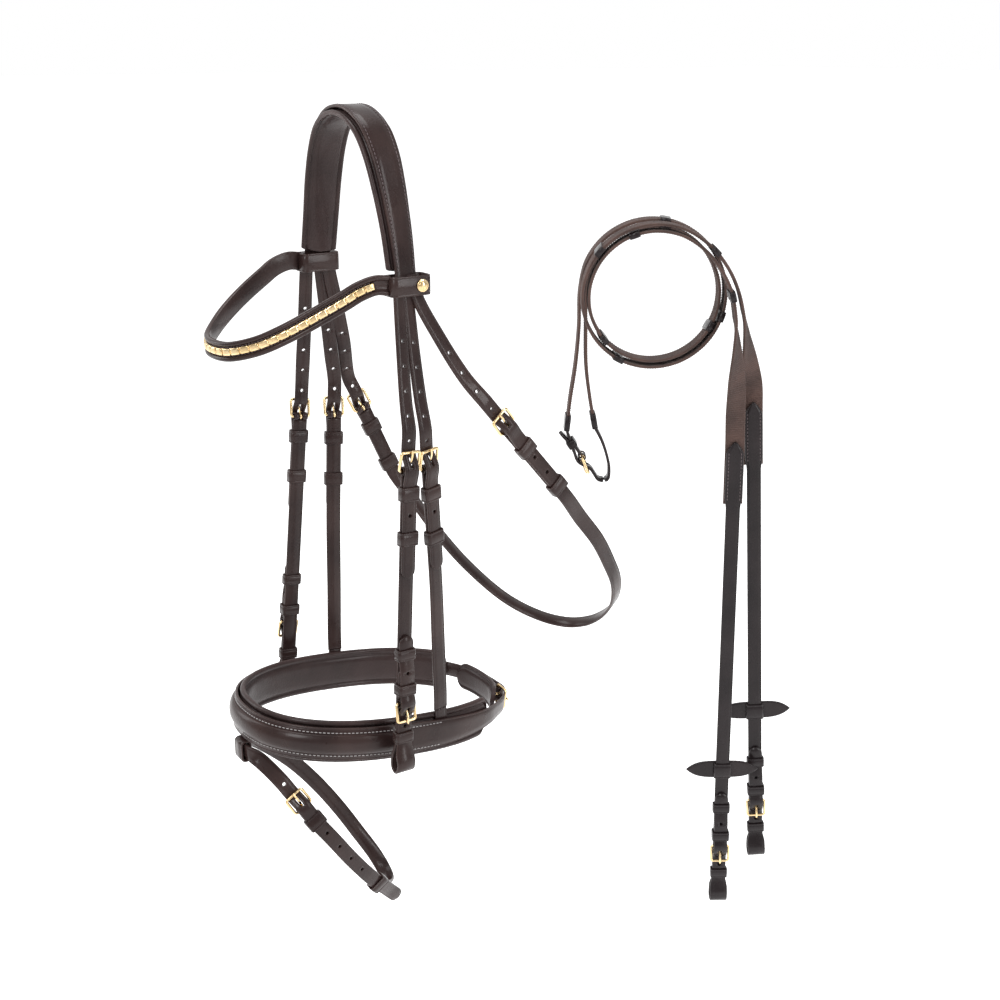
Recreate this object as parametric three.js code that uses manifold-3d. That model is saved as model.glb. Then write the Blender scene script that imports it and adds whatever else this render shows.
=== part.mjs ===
// Snaffle bridle: padded headpiece, browband, cheekpieces, cavesson noseband with flash,
// throatlatch and reins.
// Millimetres, +Z up, the horse faces -Y and its near (left) side is +X.
// The origin is the underside of the crown pad at the poll.
import * as THREE from 'three';
import { mergeVertices } from 'three/addons/utils/BufferGeometryUtils.js';
import Module from 'manifold-3d';

const wasm = await Module();
wasm.setup();

const v3 = (x, y, z) => new THREE.Vector3(x, y, z);

// Driving dimensions
const STRAP_WIDTH = 13;
const LEATHER = 2.4;
const GAP = 0.3;
const LAYER = LEATHER + GAP; // from one strap's middle to that of the strap lying on it
const KEEPER_WALL = 1.5;
const KEEPER_WIDTH = 11;
const WIRE = 2.2; // bar of a buckle
const BUCKLE_REACH = 15; // heel bar to front bar
const BUCKLE_TILT = THREE.MathUtils.degToRad(11);
const EYE_BORE = 2.4;
const EYE_RADIUS = 3.7;
const TONGUE_WIDTH = 1.8;
const TONGUE_SLOT = 3;
const HOLE_RADIUS = 1.6;
const HOLE_SPACING = 20;
const BIT_TURN = 2.2; // middle of the bit loop's turn, out from the strap
const BIT_SEAT = 2.25; // flat at the bottom of the bit loop where the ring hangs
const BIT_EYE = 3; // height of the eye of a bit end's buckle over its strap
const OVER_EYE = EYE_RADIUS + GAP + LEATHER / 2; // middle of a billet where it crosses the chape's eye
const CROWN_WIDTH = 28;
const CROWN_END = 0.88; // the crown's width at its ends against its middle
const PAD = 6;
const PAD_WIDTH = 33;
const BROWBAND_WIDTH = 15;
const NOSE_HEIGHT = 28;
const WEB_WIDTH = 17.5;
const WEB = 2.6;
const FRAME_PLAY = 0.6; // between a strap's edge and the inside of its buckle
const KEEPER_PLAY = 0.4;
const KEEPER_SIDE_PLAY = 0.5;
const KEEPER_BITE = 0.2; // how far a sewn keeper goes into its strap
const BIT_BUCKLE = 61; // heel bar of a bit end's buckle, up from the bottom of its loop
const TAIL_LENGTH = 86; // billet below the buckle, cheek and hanger
const THROAT_TAILS = { near: 74, far: 70 };

// Heel bars of the headstall's buckles, and the way up the straps that hang from them
const BUCKLES = {
  near: {
    cheek: { place: v3(97, -11, -256), along: v3(-1, 13, 252) },
    hanger: { place: v3(93, 9, -258), along: v3(11, -19, 233) },
    throat: { place: v3(100, 78, -235), along: v3(-2, -44, 52) },
  },
  far: {
    cheek: { place: v3(-97, -7, -256), along: v3(1, 25, 252) },
    hanger: { place: v3(-93, 24, -258), along: v3(-11, 17, 233) },
    throat: { place: v3(-97, 55, -257), along: v3(-5, -23, 54) },
  },
};
const BUCKLE_LEAN = { cheek: 0.05, hanger: 0.2, throat: 0.1 }; // how far a buckle's face turns to the rear
const CHEEK_LENGTH = 252;
const HANGER_TAB = { thickness: 1.2, width: 12, length: 34 }; // thinned end sewn inside the noseband
const RUNNER_PLACE = -54; // down the cheekpiece from its upper buckle

// Browband: the half axes of its oval, the loop round the headpiece, and the clincher
const BROW_X = 76;
const BROW_Y = 122;
const BROWBAND_LEATHER = 4;
const LOOP = { x: 74, y: 4.3, z: -119, depth: 15, length: 31 };
const CLINCHER_PLATES = 36;

// Noseband: an oval a little squarer than an ellipse, tilted about X
const NOSE_CENTRE = v3(0, 3, -493);
const NOSE_TILT = THREE.MathUtils.degToRad(-7.1);
const NOSE_HALF_WIDTH = 78;
const NOSE_HALF_LENGTH = 118;
const NOSE_SHAPE = 2 / 2.3;
const NOSE_STEP = 10; // degrees between rings
const NOSE_SKIN = 2.2;
const NOSE_PAD = 6;
const NOSE_PAD_HEIGHT = 30;
const NOSE_ROLL = { height: 17, depth: 4.5 };
const JAW_HEEL = 167; // degrees round the oval to the rear buckle
const JAW_PLACE = 0.68; // of the way along the rows beside the rear buckle's heel bar
const FLASH_LOOP = v3(0, -118.5, -503.4);

// Reins
const COIL = { x: 131, z: -149.5, turns: 1.375, steps: 20, back: 20, front: -25 };
const PATCH_LENGTH = 55; // leather sewn over the end of the webbing
const PATCH_SCALE = 1.3; // its width against the strap's
const REIN_STOP = { length: 68, height: 13 };

const group = new THREE.Group();
group.name = 'snaffle_bridle';

// Materials
function material(colour, roughness, metalness) {
  return () => new THREE.MeshStandardMaterial({ color: colour, roughness, metalness });
}
const brownLeather = material(0x372827, 0.42, 0);
const padLeather = material(0x33282a, 0.5, 0);
const blackLeather = material(0x1c1b1e, 0.4, 0);
const brass = material(0xd0a352, 0.28, 1);
const webbing = material(0x56403a, 0.85, 0);

function add(name, geometry, makeMaterial, parent = group) {
  const mesh = new THREE.Mesh(geometry, makeMaterial());
  mesh.name = name;
  parent.add(mesh);
  return mesh;
}

// Booleans
function solid(geometry) {
  const bare = geometry.clone();
  bare.deleteAttribute('normal');
  bare.deleteAttribute('uv');
  const merged = mergeVertices(bare, 1e-3);
  const mesh = { numProp: 3, vertProperties: merged.attributes.position.array };
  mesh.triVerts = new Uint32Array(merged.index.array);
  return new wasm.Manifold(new wasm.Mesh(mesh));
}

function shell(body) {
  const mesh = body.getMesh();
  const geometry = new THREE.BufferGeometry();
  geometry.setAttribute('position', new THREE.BufferAttribute(mesh.vertProperties, 3));
  geometry.setIndex(new THREE.BufferAttribute(mesh.triVerts, 1));
  return geometry;
}

const joined = (pieces) => shell(pieces.map(solid).reduce((one, other) => one.add(other)));
const cut = (geometry, tools) => {
  const body = tools.map(solid).reduce((one, tool) => one.subtract(tool), solid(geometry));
  return shell(body);
};

// A strap's middle line with the way its face looks at each point.
// faces holds one direction per point, and scales the strap's width there.
class StrapPath extends THREE.CatmullRomCurve3 {
  constructor(points, faces, scales) {
    super(points, false, 'centripetal');
    this.faces = faces;
    this.scales = scales;
  }

  frameAt(t) {
    const along = this.getTangent(t);
    const place = t * (this.faces.length - 1);
    const first = Math.min(Math.floor(place), this.faces.length - 2);
    const part = place - first;
    const face = this.faces[first].clone().lerp(this.faces[first + 1], part);
    face.addScaledVector(along, -face.dot(along)).normalize();
    const scale = THREE.MathUtils.lerp(this.scales[first], this.scales[first + 1], part);
    const across = v3().crossVectors(along, face).multiplyScalar(scale);
    return { along, face, across };
  }

  // Rings stand at the rows and at even parts between them, so straight stretches have few
  getSpacedPoints(steps) {
    return this.getPoints(steps);
  }

  computeFrenetFrames(steps) {
    const frames = { tangents: [], normals: [], binormals: [] };
    for (let i = 0; i <= steps; i += 1) {
      const { along, face, across } = this.frameAt(i / steps);
      frames.tangents.push(along);
      frames.normals.push(face);
      frames.binormals.push(across);
    }
    return frames;
  }
}

// The ways a strap can face, as functions of the point and the direction along the strap
const flatAcross = (across) => (point, along) => v3().crossVectors(across, along);
const awayFrom = (centre) => (point) => point.clone().sub(centre);
const towards = (direction) => () => direction.clone();

// rows are [x, y, z, lift, width scale, face]. lift moves the strap off its line towards its face,
// and a row that gives its own face isn't asked of facing
function strapPath(rows, facing) {
  const places = rows.map(([x, y, z]) => v3(x, y, z));
  const bare = new THREE.CatmullRomCurve3(places, false, 'centripetal');
  const faces = rows.map((row, i) => {
    const along = bare.getTangent(i / (rows.length - 1));
    const face = row[5] ? row[5].clone() : facing(bare.points[i], along);
    return face.addScaledVector(along, -face.dot(along)).normalize();
  });
  const points = rows.map((row, i) => bare.points[i].clone().addScaledVector(faces[i], row[3] ?? 0));
  return new StrapPath(points, faces, rows.map((row) => row[4] ?? 1));
}

function rectangle(thickness, width) {
  const shape = new THREE.Shape();
  shape.moveTo(-thickness / 2, -width / 2);
  shape.lineTo(thickness / 2, -width / 2);
  shape.lineTo(thickness / 2, width / 2);
  shape.lineTo(-thickness / 2, width / 2);
  shape.closePath();
  return shape;
}

function sweep(path, section, parts = 2) {
  const steps = parts * (path.points.length - 1);
  return new THREE.ExtrudeGeometry(section, { steps, extrudePath: path, curveSegments: 4 });
}

function strap(rows, facing, { width = STRAP_WIDTH, thickness = LEATHER, parts = 2 } = {}) {
  return sweep(strapPath(rows, facing), rectangle(thickness, width), parts);
}

function box(width, length, height, x, y, z) {
  return new THREE.BoxGeometry(width, length, height).translate(x, y, z);
}

// A buckle's own frame: x across the strap, y from the heel bar to the front bar, z the way the face looks.
function setFrame(object, origin, along, face) {
  const y = along.clone().normalize();
  const z = face.clone().addScaledVector(y, -face.dot(y)).normalize();
  const x = v3().crossVectors(y, z);
  object.position.copy(origin);
  object.quaternion.setFromRotationMatrix(new THREE.Matrix4().makeBasis(x, y, z));
  object.updateMatrix();
  return object;
}

const faceOf = (frame) => v3(0, 0, 1).transformDirection(frame.matrix);
const row = (point, lift = 0, scale = 1, face = undefined) => [point.x, point.y, point.z, lift, scale, face];
const frameRow = (frame, y, z, scale = 1) => {
  const point = v3(0, y, z).applyMatrix4(frame.matrix);
  return row(point, 0, scale, faceOf(frame));
};

// The end of a billet as it goes in under the front bar and climbs over the eye
const billetEnd = (frame, scale = 1) => [
  frameRow(frame, BUCKLE_REACH + 5, -0.6, scale),
  frameRow(frame, BUCKLE_REACH - 1.5, -0.5, scale),
  frameRow(frame, 7, 2.8, scale),
  frameRow(frame, 3, OVER_EYE - 0.35, scale),
];

// Buckle: a rectangular frame tilted about its heel bar, and a tongue that turns on the bar.
function buckle(name, parent, y = 0, z = 0, turned = false) {
  const holder = new THREE.Group();
  holder.position.set(0, y, z);
  holder.rotation.z = turned ? Math.PI : 0;
  parent.add(holder);
  const half = STRAP_WIDTH / 2 + FRAME_PLAY;
  const outline = new THREE.Shape();
  const corner = 2;
  const outer = half + WIRE;
  const top = BUCKLE_REACH + WIRE / 2;
  outline.moveTo(-outer, -WIRE / 2);
  outline.lineTo(outer, -WIRE / 2);
  outline.lineTo(outer, top - corner);
  outline.absarc(outer - corner, top - corner, corner, 0, Math.PI / 2);
  outline.lineTo(-outer + corner, top);
  outline.absarc(-outer + corner, top - corner, corner, Math.PI / 2, Math.PI);
  outline.closePath();
  const window = new THREE.Path();
  window.moveTo(-half, WIRE / 2);
  window.lineTo(-half, BUCKLE_REACH - WIRE / 2);
  window.lineTo(half, BUCKLE_REACH - WIRE / 2);
  window.lineTo(half, WIRE / 2);
  window.closePath();
  outline.holes.push(window);
  const plate = new THREE.ExtrudeGeometry(outline, { depth: WIRE, bevelEnabled: false, curveSegments: 3 });
  plate.translate(0, 0, -WIRE / 2);
  const frame = add(`${name}_buckle`, plate, brass, holder);
  frame.rotation.x = BUCKLE_TILT;
  add(`${name}_tongue`, tongue(), brass, holder);
}

// The tongue's side view: a ring round the heel bar and an arm that comes to rest on the front bar.
function tongue() {
  const bore = 1.75;
  const rim = 2.9;
  const barTop = BUCKLE_REACH * Math.sin(BUCKLE_TILT) + WIRE / 2 / Math.cos(BUCKLE_TILT) + GAP + 0.3;
  const side = new THREE.Shape();
  side.absarc(0, 0, rim, Math.PI * 0.42, Math.PI * 2.08);
  side.lineTo(6, 2.2);
  side.lineTo(BUCKLE_REACH - 2.5, barTop);
  side.lineTo(BUCKLE_REACH + 2, barTop);
  side.lineTo(BUCKLE_REACH + 2, barTop + 1.3);
  side.lineTo(BUCKLE_REACH - 3.5, barTop + 1.3);
  side.closePath();
  const hole = new THREE.Path();
  hole.absarc(0, 0, bore, 0, Math.PI * 2, true);
  side.holes.push(hole);
  const options = { depth: TONGUE_WIDTH, bevelEnabled: false, curveSegments: 4 };
  const blade = new THREE.ExtrudeGeometry(side, options);
  blade.translate(0, 0, -TONGUE_WIDTH / 2);
  // the side view's x and y become the buckle's y and z
  return blade.applyMatrix4(new THREE.Matrix4().makeBasis(v3(0, 1, 0), v3(0, 0, 1), v3(1, 0, 0)));
}

// The eye at a chape's end, round the heel bar at height z, split in the middle for the tongue.
function eye(y, z, turned) {
  const ring = new THREE.Shape();
  const way = turned ? -1 : 1;
  ring.absarc(0, 0, EYE_RADIUS, 0, Math.PI * 2);
  const bore = new THREE.Path();
  bore.absarc(0, 0, EYE_BORE, 0, Math.PI * 2, true);
  ring.holes.push(bore);
  const tube = new THREE.ExtrudeGeometry(ring, { depth: STRAP_WIDTH, bevelEnabled: false, curveSegments: 6 });
  tube.rotateY(Math.PI / 2).translate(-STRAP_WIDTH / 2, y, z);
  const slot = box(TONGUE_SLOT, 2 * EYE_RADIUS + 2, 12, 0, y + way * 0.8, z);
  return cut(tube, [slot]);
}

// A keeper round layers of strap from low to high. A sewn one bites into the strap it is sewn to.
function keeper(y, low, high, sewn, length = KEEPER_WIDTH) {
  const side = STRAP_WIDTH / 2 + KEEPER_SIDE_PLAY;
  const top = high + KEEPER_PLAY;
  const bottom = sewn ? low + KEEPER_BITE : low - KEEPER_PLAY;
  const outline = new THREE.Shape();
  const over = side + KEEPER_WALL;
  outline.moveTo(-over, bottom - KEEPER_WALL);
  outline.lineTo(over, bottom - KEEPER_WALL);
  outline.lineTo(over, top + KEEPER_WALL);
  outline.lineTo(-over, top + KEEPER_WALL);
  outline.closePath();
  const inside = new THREE.Path();
  inside.moveTo(-side, bottom);
  inside.lineTo(-side, top);
  inside.lineTo(side, top);
  inside.lineTo(side, bottom);
  inside.closePath();
  outline.holes.push(inside);
  const band = new THREE.ExtrudeGeometry(outline, { depth: length, bevelEnabled: false });
  return band.rotateX(Math.PI / 2).translate(0, y + length / 2, 0);
}

// Holes punched through a strap's face at the given places along the frame's y axis
function punches(places, z = 0) {
  return places.map((y) => {
    const punch = new THREE.CylinderGeometry(HOLE_RADIUS, HOLE_RADIUS, 12, 6);
    return punch.rotateX(Math.PI / 2).translate(0, y, z);
  });
}

const tongueHole = (y, z, way) => box(TONGUE_SLOT, 13, 14, 0, y + way * 5.5, z);

// The part of a billet that lies below its buckle, from the heel bar to the tip
function billetTail(length) {
  const rows = [
    [0, -2.4, OVER_EYE - 0.2],
    [0, -6, LAYER + 1.3],
    [0, -10.5, LAYER + 0.3],
    [0, -16, LAYER],
    [0, -length / 2, LAYER],
    [0, -length + 12, LAYER],
    [0, -length + 4, LAYER, 0, 0.9],
    [0, -length, LAYER, 0, 0.45],
  ];
  const tail = strap(rows, towards(v3(0, 0, 1)), { parts: 1 });
  return cut(tail, punches([-HOLE_SPACING * 1.8, -HOLE_SPACING * 2.8].filter((y) => y > 12 - length), LAYER));
}

// The lower end of a cheekpiece or rein, hanging down -y from the frame's origin. The strap turns
// round the bit ring, comes back up its own face and is buckled there.
function bitEndStrap(length, topRows) {
  const bottom = -length;
  const rows = [
    ...topRows,
    [0, bottom + 60, 0],
    [0, bottom + 40, 0],
    [0, bottom + 25, 0],
    [0, bottom + 17, -1.2],
    [0, bottom + 9, -2.8],
    [0, bottom + 3, -1.2],
    [0, bottom + LEATHER / 2, BIT_TURN],
    [0, bottom + 3, 5.6],
    [0, bottom + 9, 7.2],
    [0, bottom + 17, 4.6],
    [0, bottom + 26, LAYER],
    [0, bottom + 40, LAYER],
    [0, bottom + 48.5, LAYER - 0.2],
    [0, bottom + 54, 5.6],
    [0, bottom + 58, 7.5],
    [0, bottom + 62, BIT_EYE + OVER_EYE],
    [0, bottom + 70, 2 * LAYER + 0.2],
    [0, bottom + 86, 2 * LAYER],
    [0, bottom + 93, 4],
    [0, bottom + 99, LAYER],
    [0, bottom + 108, LAYER],
    [0, bottom + 114, LAYER, 0, 0.9],
    [0, bottom + 118, LAYER, 0, 0.45],
  ];
  const facing = flatAcross(v3(-1, 0, 0));
  const pocket = box(TONGUE_SLOT, 8, 8, 0, bottom + BIT_BUCKLE, BIT_EYE + 0.8);
  const seat = box(STRAP_WIDTH + 2, 4, 3.4, 0, bottom + BIT_SEAT + 2, BIT_TURN);
  const main = cut(strap(rows, facing), [tongueHole(bottom + 62, 8, -1), pocket, seat]);
  const chapeLayer = LEATHER - 0.1;
  const chape = box(STRAP_WIDTH, 27, LEATHER, 0, bottom + 77.5, chapeLayer);
  const slotted = cut(chape, [box(TONGUE_SLOT, 1.2, 8, 0, bottom + 64, chapeLayer)]);
  const loopEye = eye(bottom + BIT_BUCKLE, BIT_EYE, true);
  const layersTop = 2 * LAYER + LEATHER / 2;
  return joined([
    main,
    slotted,
    loopEye,
    keeper(bottom + 73, -LEATHER / 2, layersTop, true, 9),
    keeper(bottom + 102, -LEATHER / 2, LAYER + LEATHER / 2, true, 9),
    keeper(bottom + 31, -LEATHER / 2, LAYER + LEATHER / 2, true, 9),
  ]);
}

// Crown and billets
const crownLine = [
  [0, 0, 8.2],
  [18, 0, 5],
  [35, 1, -5],
  [48, 2, -23, 0, 0.98],
  [58, 3, -48, 0, 0.95],
  [66, 4, -78, 0, 0.91],
  [71.5, 4, -104, 0, CROWN_END],
];
const crownSide = (side) => crownLine.slice(1).map(([x, y, z, lift, scale]) => [side * x, y, z, lift, scale]);
const crownRows = [...crownSide(-1).reverse(), crownLine[0], ...crownSide(1)];
const crownFacing = (point) => {
  const turn = THREE.MathUtils.degToRad(20) * THREE.MathUtils.smoothstep(-point.z, 10, 110);
  const outward = v3(Math.sign(point.x) * Math.cos(turn), Math.sin(turn), 0);
  return outward.multiplyScalar(Math.abs(point.x)).add(v3(0, 0, 55));
};

function billetRows(side, line, frame) {
  return [
    ...line.map(([x, y, z]) => [side * x, y, z]),
    frameRow(frame, BUCKLE_REACH + 16, -0.4),
    ...billetEnd(frame),
    frameRow(frame, 0.2, OVER_EYE),
  ];
}

const frames = { near: {}, far: {} };
for (const [name, side] of [['near', 1], ['far', -1]]) {
  for (const [kind, { place, along }] of Object.entries(BUCKLES[name])) {
    const frame = setFrame(new THREE.Group(), place, along, v3(side, BUCKLE_LEAN[kind], 0));
    frames[name][kind] = frame;
    group.add(frame);
  }
}

// Billets from the crown to just above their buckles; the far side's x is mirrored
const billetLines = {
  near: {
    cheek: [[72.8, -4, -101], [76, -4, -112], [78.5, -5, -130], [85, -7, -170], [92, -9, -205]],
    hanger: [[70.5, 4, -101], [72.5, 4, -112], [75, 4.5, -130], [81.5, 5, -170], [88, 6, -205]],
    throat: [[69, 10, -101], [72, 10.5, -112], [74.5, 12.5, -128], [82, 27, -160], [91, 45, -193]],
  },
  far: {
    cheek: [[72.8, -4, -101], [76, -4, -112], [78.5, -4.5, -130], [85, -4.5, -170], [92, -4.3, -205]],
    hanger: [[70.5, 4, -101], [72.5, 5, -112], [75.5, 8, -130], [83, 15.5, -170], [90, 22, -205]],
    throat: [[69, 10, -101], [70.5, 11, -112], [72.2, 14, -128], [78, 23, -160], [87.5, 33, -193]],
  },
};

function headpiece() {
  const pieces = [strap(crownRows, crownFacing, { width: CROWN_WIDTH })];
  const cutters = [];
  for (const [name, side] of [['near', 1], ['far', -1]]) {
    const outward = towards(v3(side, 0.25, 0));
    for (const [kind, frame] of Object.entries(frames[name])) {
      const rows = billetRows(side, billetLines[name][kind], frame);
      pieces.push(strap(rows, outward, { width: STRAP_WIDTH - 1.5, parts: 1 }));
      const hole = tongueHole(0, 3, 1).applyMatrix4(frame.matrix);
      const places = [1, 2, 3, 4].map((i) => BUCKLE_REACH - 8 + i * HOLE_SPACING);
      const punched = punches(places.slice(0, kind === 'throat' ? 1 : 2));
      cutters.push(hole, ...punched.map((punch) => punch.applyMatrix4(frame.matrix)));
    }
  }
  return cut(joined(pieces), cutters);
}

add('headpiece', headpiece(), brownLeather);

// Crown pad, flat where it rests on the poll
function crownPadding() {
  const under = -(LEATHER / 2 + GAP + PAD / 2 + 0.9);
  const line = crownRows.slice(1, -1);
  const end = (side) => [side * 71, 4, -102, 0, CROWN_END];
  const whole = [end(-1), ...line, end(1)];
  const rows = whole.map(([x, y, z, , scale]) => [x, y, z, under, scale]);
  const pad = strap(rows, crownFacing, { width: PAD_WIDTH, thickness: PAD });
  return cut(pad, [box(12, 80, 20, 0, 0, -10)]);
}

add('crown_padding', crownPadding(), padLeather);

// Browband: a shaped band with a loop at each end round the headpiece
const browLine = [
  [74.5, -22, -117],
  [73, -35, -120.5],
  [70, -47, -127],
  [63, -68, -138.5],
  [53, -88, -150],
  [40, -104, -159],
  [21, -118, -165],
];
const browSide = (side) => browLine.map(([x, y, z]) => [side * x, y, z]);
const browEnd = (side) => [side * (LOOP.x + 2), LOOP.y - LOOP.length / 2 - 1, LOOP.z + 1];
const browRows = [browEnd(1), ...browSide(1), [0, -122, -166], ...browSide(-1).reverse(), browEnd(-1)];
const browFacing = (point) => v3(point.x / BROW_X ** 2, point.y / BROW_Y ** 2, 0);

function browbandLoop(side) {
  const { x, y, z, depth, length } = LOOP;
  const outer = box(depth + 3, length + 3, BROWBAND_WIDTH, side * x, y, z);
  return cut(outer, [box(depth, length, BROWBAND_WIDTH + 4, side * x, y, z)]);
}

function browband() {
  const band = strap(browRows, browFacing, { width: BROWBAND_WIDTH, thickness: BROWBAND_LEATHER });
  return joined([band, browbandLoop(1), browbandLoop(-1)]);
}

add('browband', browband(), brownLeather);

// Clincher: a brass strip along the browband's front with a row of raised plates
function clincher() {
  const rows = browRows.slice(1, -1).map(([x, y, z]) => [x, y, z, 2 + GAP + 0.5]);
  const path = strapPath(rows, browFacing);
  const pieces = [sweep(path, rectangle(1, 6.5))];
  for (let i = 0; i < CLINCHER_PLATES; i += 1) {
    const u = (i + 0.5) / CLINCHER_PLATES;
    const frame = path.frameAt(path.getUtoTmapping(u));
    const plate = box(6.4, 7.6, 1.4, 0, 0, 0.9);
    const holder = setFrame(new THREE.Group(), path.getPointAt(u), frame.across, frame.face);
    pieces.push(plate.applyMatrix4(holder.matrix));
  }
  return joined(pieces);
}

add('clincher', clincher(), brass);

for (const [name, side] of [['near', 1], ['far', -1]]) {
  const stud = new THREE.CylinderGeometry(4.2, 4.8, 2.4, 16);
  const mesh = add(`${name}_browband_stud`, stud, brass);
  mesh.rotation.z = -side * Math.PI / 2;
  mesh.position.set(side * (LOOP.x + LOOP.depth / 2 + 1.5 + GAP + 1.2), LOOP.y + 8, LOOP.z);
}

// Cheekpieces
function cheekpiece() {
  const lower = bitEndStrap(CHEEK_LENGTH, [[0, -3.2, 0], [0, -20, 0], [0, -60, 0], [0, -120, 0]]);
  return joined([lower, eye(0, 0, false), keeper(-18, -LEATHER / 2, LAYER + LEATHER / 2, true)]);
}

for (const name of ['near', 'far']) {
  const { cheek } = frames[name];
  add(`${name}_cheekpiece`, cheekpiece(), brownLeather, cheek);
  add(`${name}_cheek_billet_tail`, billetTail(TAIL_LENGTH), brownLeather, cheek);
  const runner = keeper(RUNNER_PLACE, -LEATHER / 2, LAYER + LEATHER / 2, false);
  add(`${name}_cheek_runner`, runner, brownLeather, cheek);
  buckle(`${name}_cheek`, cheek);
  buckle(`${name}_bit`, cheek, -CHEEK_LENGTH + BIT_BUCKLE, BIT_EYE, true);
}

// Noseband, built in its own tilted plane
const nose = new THREE.Group();
nose.position.copy(NOSE_CENTRE);
nose.rotation.x = NOSE_TILT;
nose.updateMatrix();
group.add(nose);

// A point of the noseband's oval: 0 degrees is over the nose, 90 the near cheek, 180 under the jaw
function nosePoint(degrees) {
  const angle = THREE.MathUtils.degToRad(degrees);
  const bend = (value) => Math.sign(value) * Math.abs(value) ** NOSE_SHAPE;
  return [NOSE_HALF_WIDTH * bend(Math.sin(angle)), -NOSE_HALF_LENGTH * bend(Math.cos(angle)), 0];
}

function noseFacing(point) {
  const power = 2 / NOSE_SHAPE - 1;
  const slope = (value, half) => Math.sign(value) * Math.abs(value / half) ** power / half;
  return v3(slope(point.x, NOSE_HALF_WIDTH), slope(point.y, NOSE_HALF_LENGTH), 0);
}

const noseRow = (degrees, lift, scale = 1) => [...nosePoint(degrees), lift, scale];

const noseScale = (degrees) => {
  const fromFront = Math.abs(degrees);
  return THREE.MathUtils.lerp(1, STRAP_WIDTH / NOSE_HEIGHT, THREE.MathUtils.smoothstep(fromFront, 75, 150));
};

const jawHeel = strapPath([150, 160, JAW_HEEL, 174].map((a) => noseRow(a, NOSE_SKIN)), noseFacing);
const jawFrame = jawHeel.frameAt(JAW_PLACE);
const jawOrigin = jawHeel.getPointAt(JAW_PLACE);
const jaw = setFrame(new THREE.Group(), jawOrigin, jawFrame.along.clone().negate(), jawFrame.face);
nose.add(jaw);

function nosebandLeather() {
  const narrow = STRAP_WIDTH / NOSE_HEIGHT;
  const rows = [frameRow(jaw, -3.2, 0, narrow)];
  for (let a = -180; a <= 140; a += NOSE_STEP) rows.push(noseRow(a, NOSE_SKIN, noseScale(a)));
  rows.push(...billetEnd(jaw, narrow));
  rows.push(frameRow(jaw, -1, OVER_EYE, narrow), frameRow(jaw, -8, LAYER + 1, narrow));
  for (let a = 182; a <= 202; a += 5) {
    rows.push(noseRow(a, NOSE_SKIN + LAYER, a > 200 ? narrow * 0.5 : narrow));
  }
  const band = strap(rows, noseFacing, { width: NOSE_HEIGHT, parts: 1 });
  const eyePiece = eye(0, 0, false).applyMatrix4(jaw.matrix);
  return joined([cut(band, [tongueHole(0, 3, 1).applyMatrix4(jaw.matrix)]), eyePiece]);
}

function noseSweep(from, to, section, lift) {
  const rows = [];
  for (let a = from; a <= to; a += NOSE_STEP) rows.push(noseRow(a, lift));
  return sweep(strapPath(rows, noseFacing), section, 1);
}

// A raised roll: flat behind, round in front
function rollSection(height, depth) {
  const shape = new THREE.Shape();
  shape.moveTo(0, -height / 2);
  shape.absellipse(0, 0, depth, height / 2, -Math.PI / 2, Math.PI / 2);
  shape.closePath();
  return shape;
}

const NOSE_FACE = NOSE_SKIN + LEATHER / 2 + GAP;
add('noseband', nosebandLeather(), brownLeather, nose);
const frontRoll = noseSweep(-70, 70, rollSection(NOSE_ROLL.height, NOSE_ROLL.depth), NOSE_FACE);
add('noseband_front_roll', frontRoll, brownLeather, nose);
const nosePadding = noseSweep(-150, 130, rectangle(NOSE_PAD, NOSE_PAD_HEIGHT), -1 - NOSE_PAD / 2);
add('noseband_padding', nosePadding, padLeather, nose);
add('chin_pad', noseSweep(150, 200, rectangle(4, 24), -4.6), padLeather, nose);
buckle('jaw', jaw);

// Hangers that carry the noseband: their lower ends, and the middle and turn of each sewn tab
const hangerEnds = {
  near: { line: [[83, 21.8, -420], [79.5, 25, -460], [77.4, 26.2, -474]], tab: [77, 27.2, -486], turn: 0.08 },
  far: { line: [[83, 12.2, -420], [79.8, 9.2, -460], [78, 8.2, -474]], tab: [77.75, 7.4, -486], turn: 0.016 },
};

function hangerStrap(side, frame, { line, tab: [x, y, z], turn }) {
  const rows = [
    frameRow(frame, -3.2, 0),
    frameRow(frame, -40, 0),
    frameRow(frame, -100, 0),
    ...line.map((place) => [side * place[0], place[1], place[2]]),
  ];
  const main = strap(rows, towards(v3(side, 0.1, 0)));
  const { thickness, width, length } = HANGER_TAB;
  const tab = new THREE.BoxGeometry(thickness, width, length).rotateZ(side * turn);
  tab.translate(side * x, y, z);
  const fittings = [eye(0, 0, false), keeper(-21, -LEATHER / 2, LAYER + LEATHER / 2, true)];
  fittings.push(keeper(-58, -LEATHER / 2, LAYER + LEATHER / 2, true));
  return joined([main, tab, ...fittings.map((piece) => piece.applyMatrix4(frame.matrix))]);
}

for (const [name, side] of [['near', 1], ['far', -1]]) {
  const { hanger } = frames[name];
  add(`${name}_hanger`, hangerStrap(side, hanger, hangerEnds[name]), brownLeather);
  add(`${name}_hanger_billet_tail`, billetTail(TAIL_LENGTH), brownLeather, hanger);
  buckle(`${name}_hanger`, hanger);
}

// Throatlatch
const throatMiddle = [
  [95, 155, -325],
  [88, 180, -353],
  [78, 201, -381],
  [68, 217, -404],
  [55, 228, -426],
  [40, 235, -443],
  [22, 237, -459],
  [5, 234, -470],
  [-12, 224, -475],
  [-28, 205, -470],
  [-45, 177, -452],
  [-62, 144, -417],
  [-75, 116, -378],
  [-84, 99, -349],
];

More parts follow.
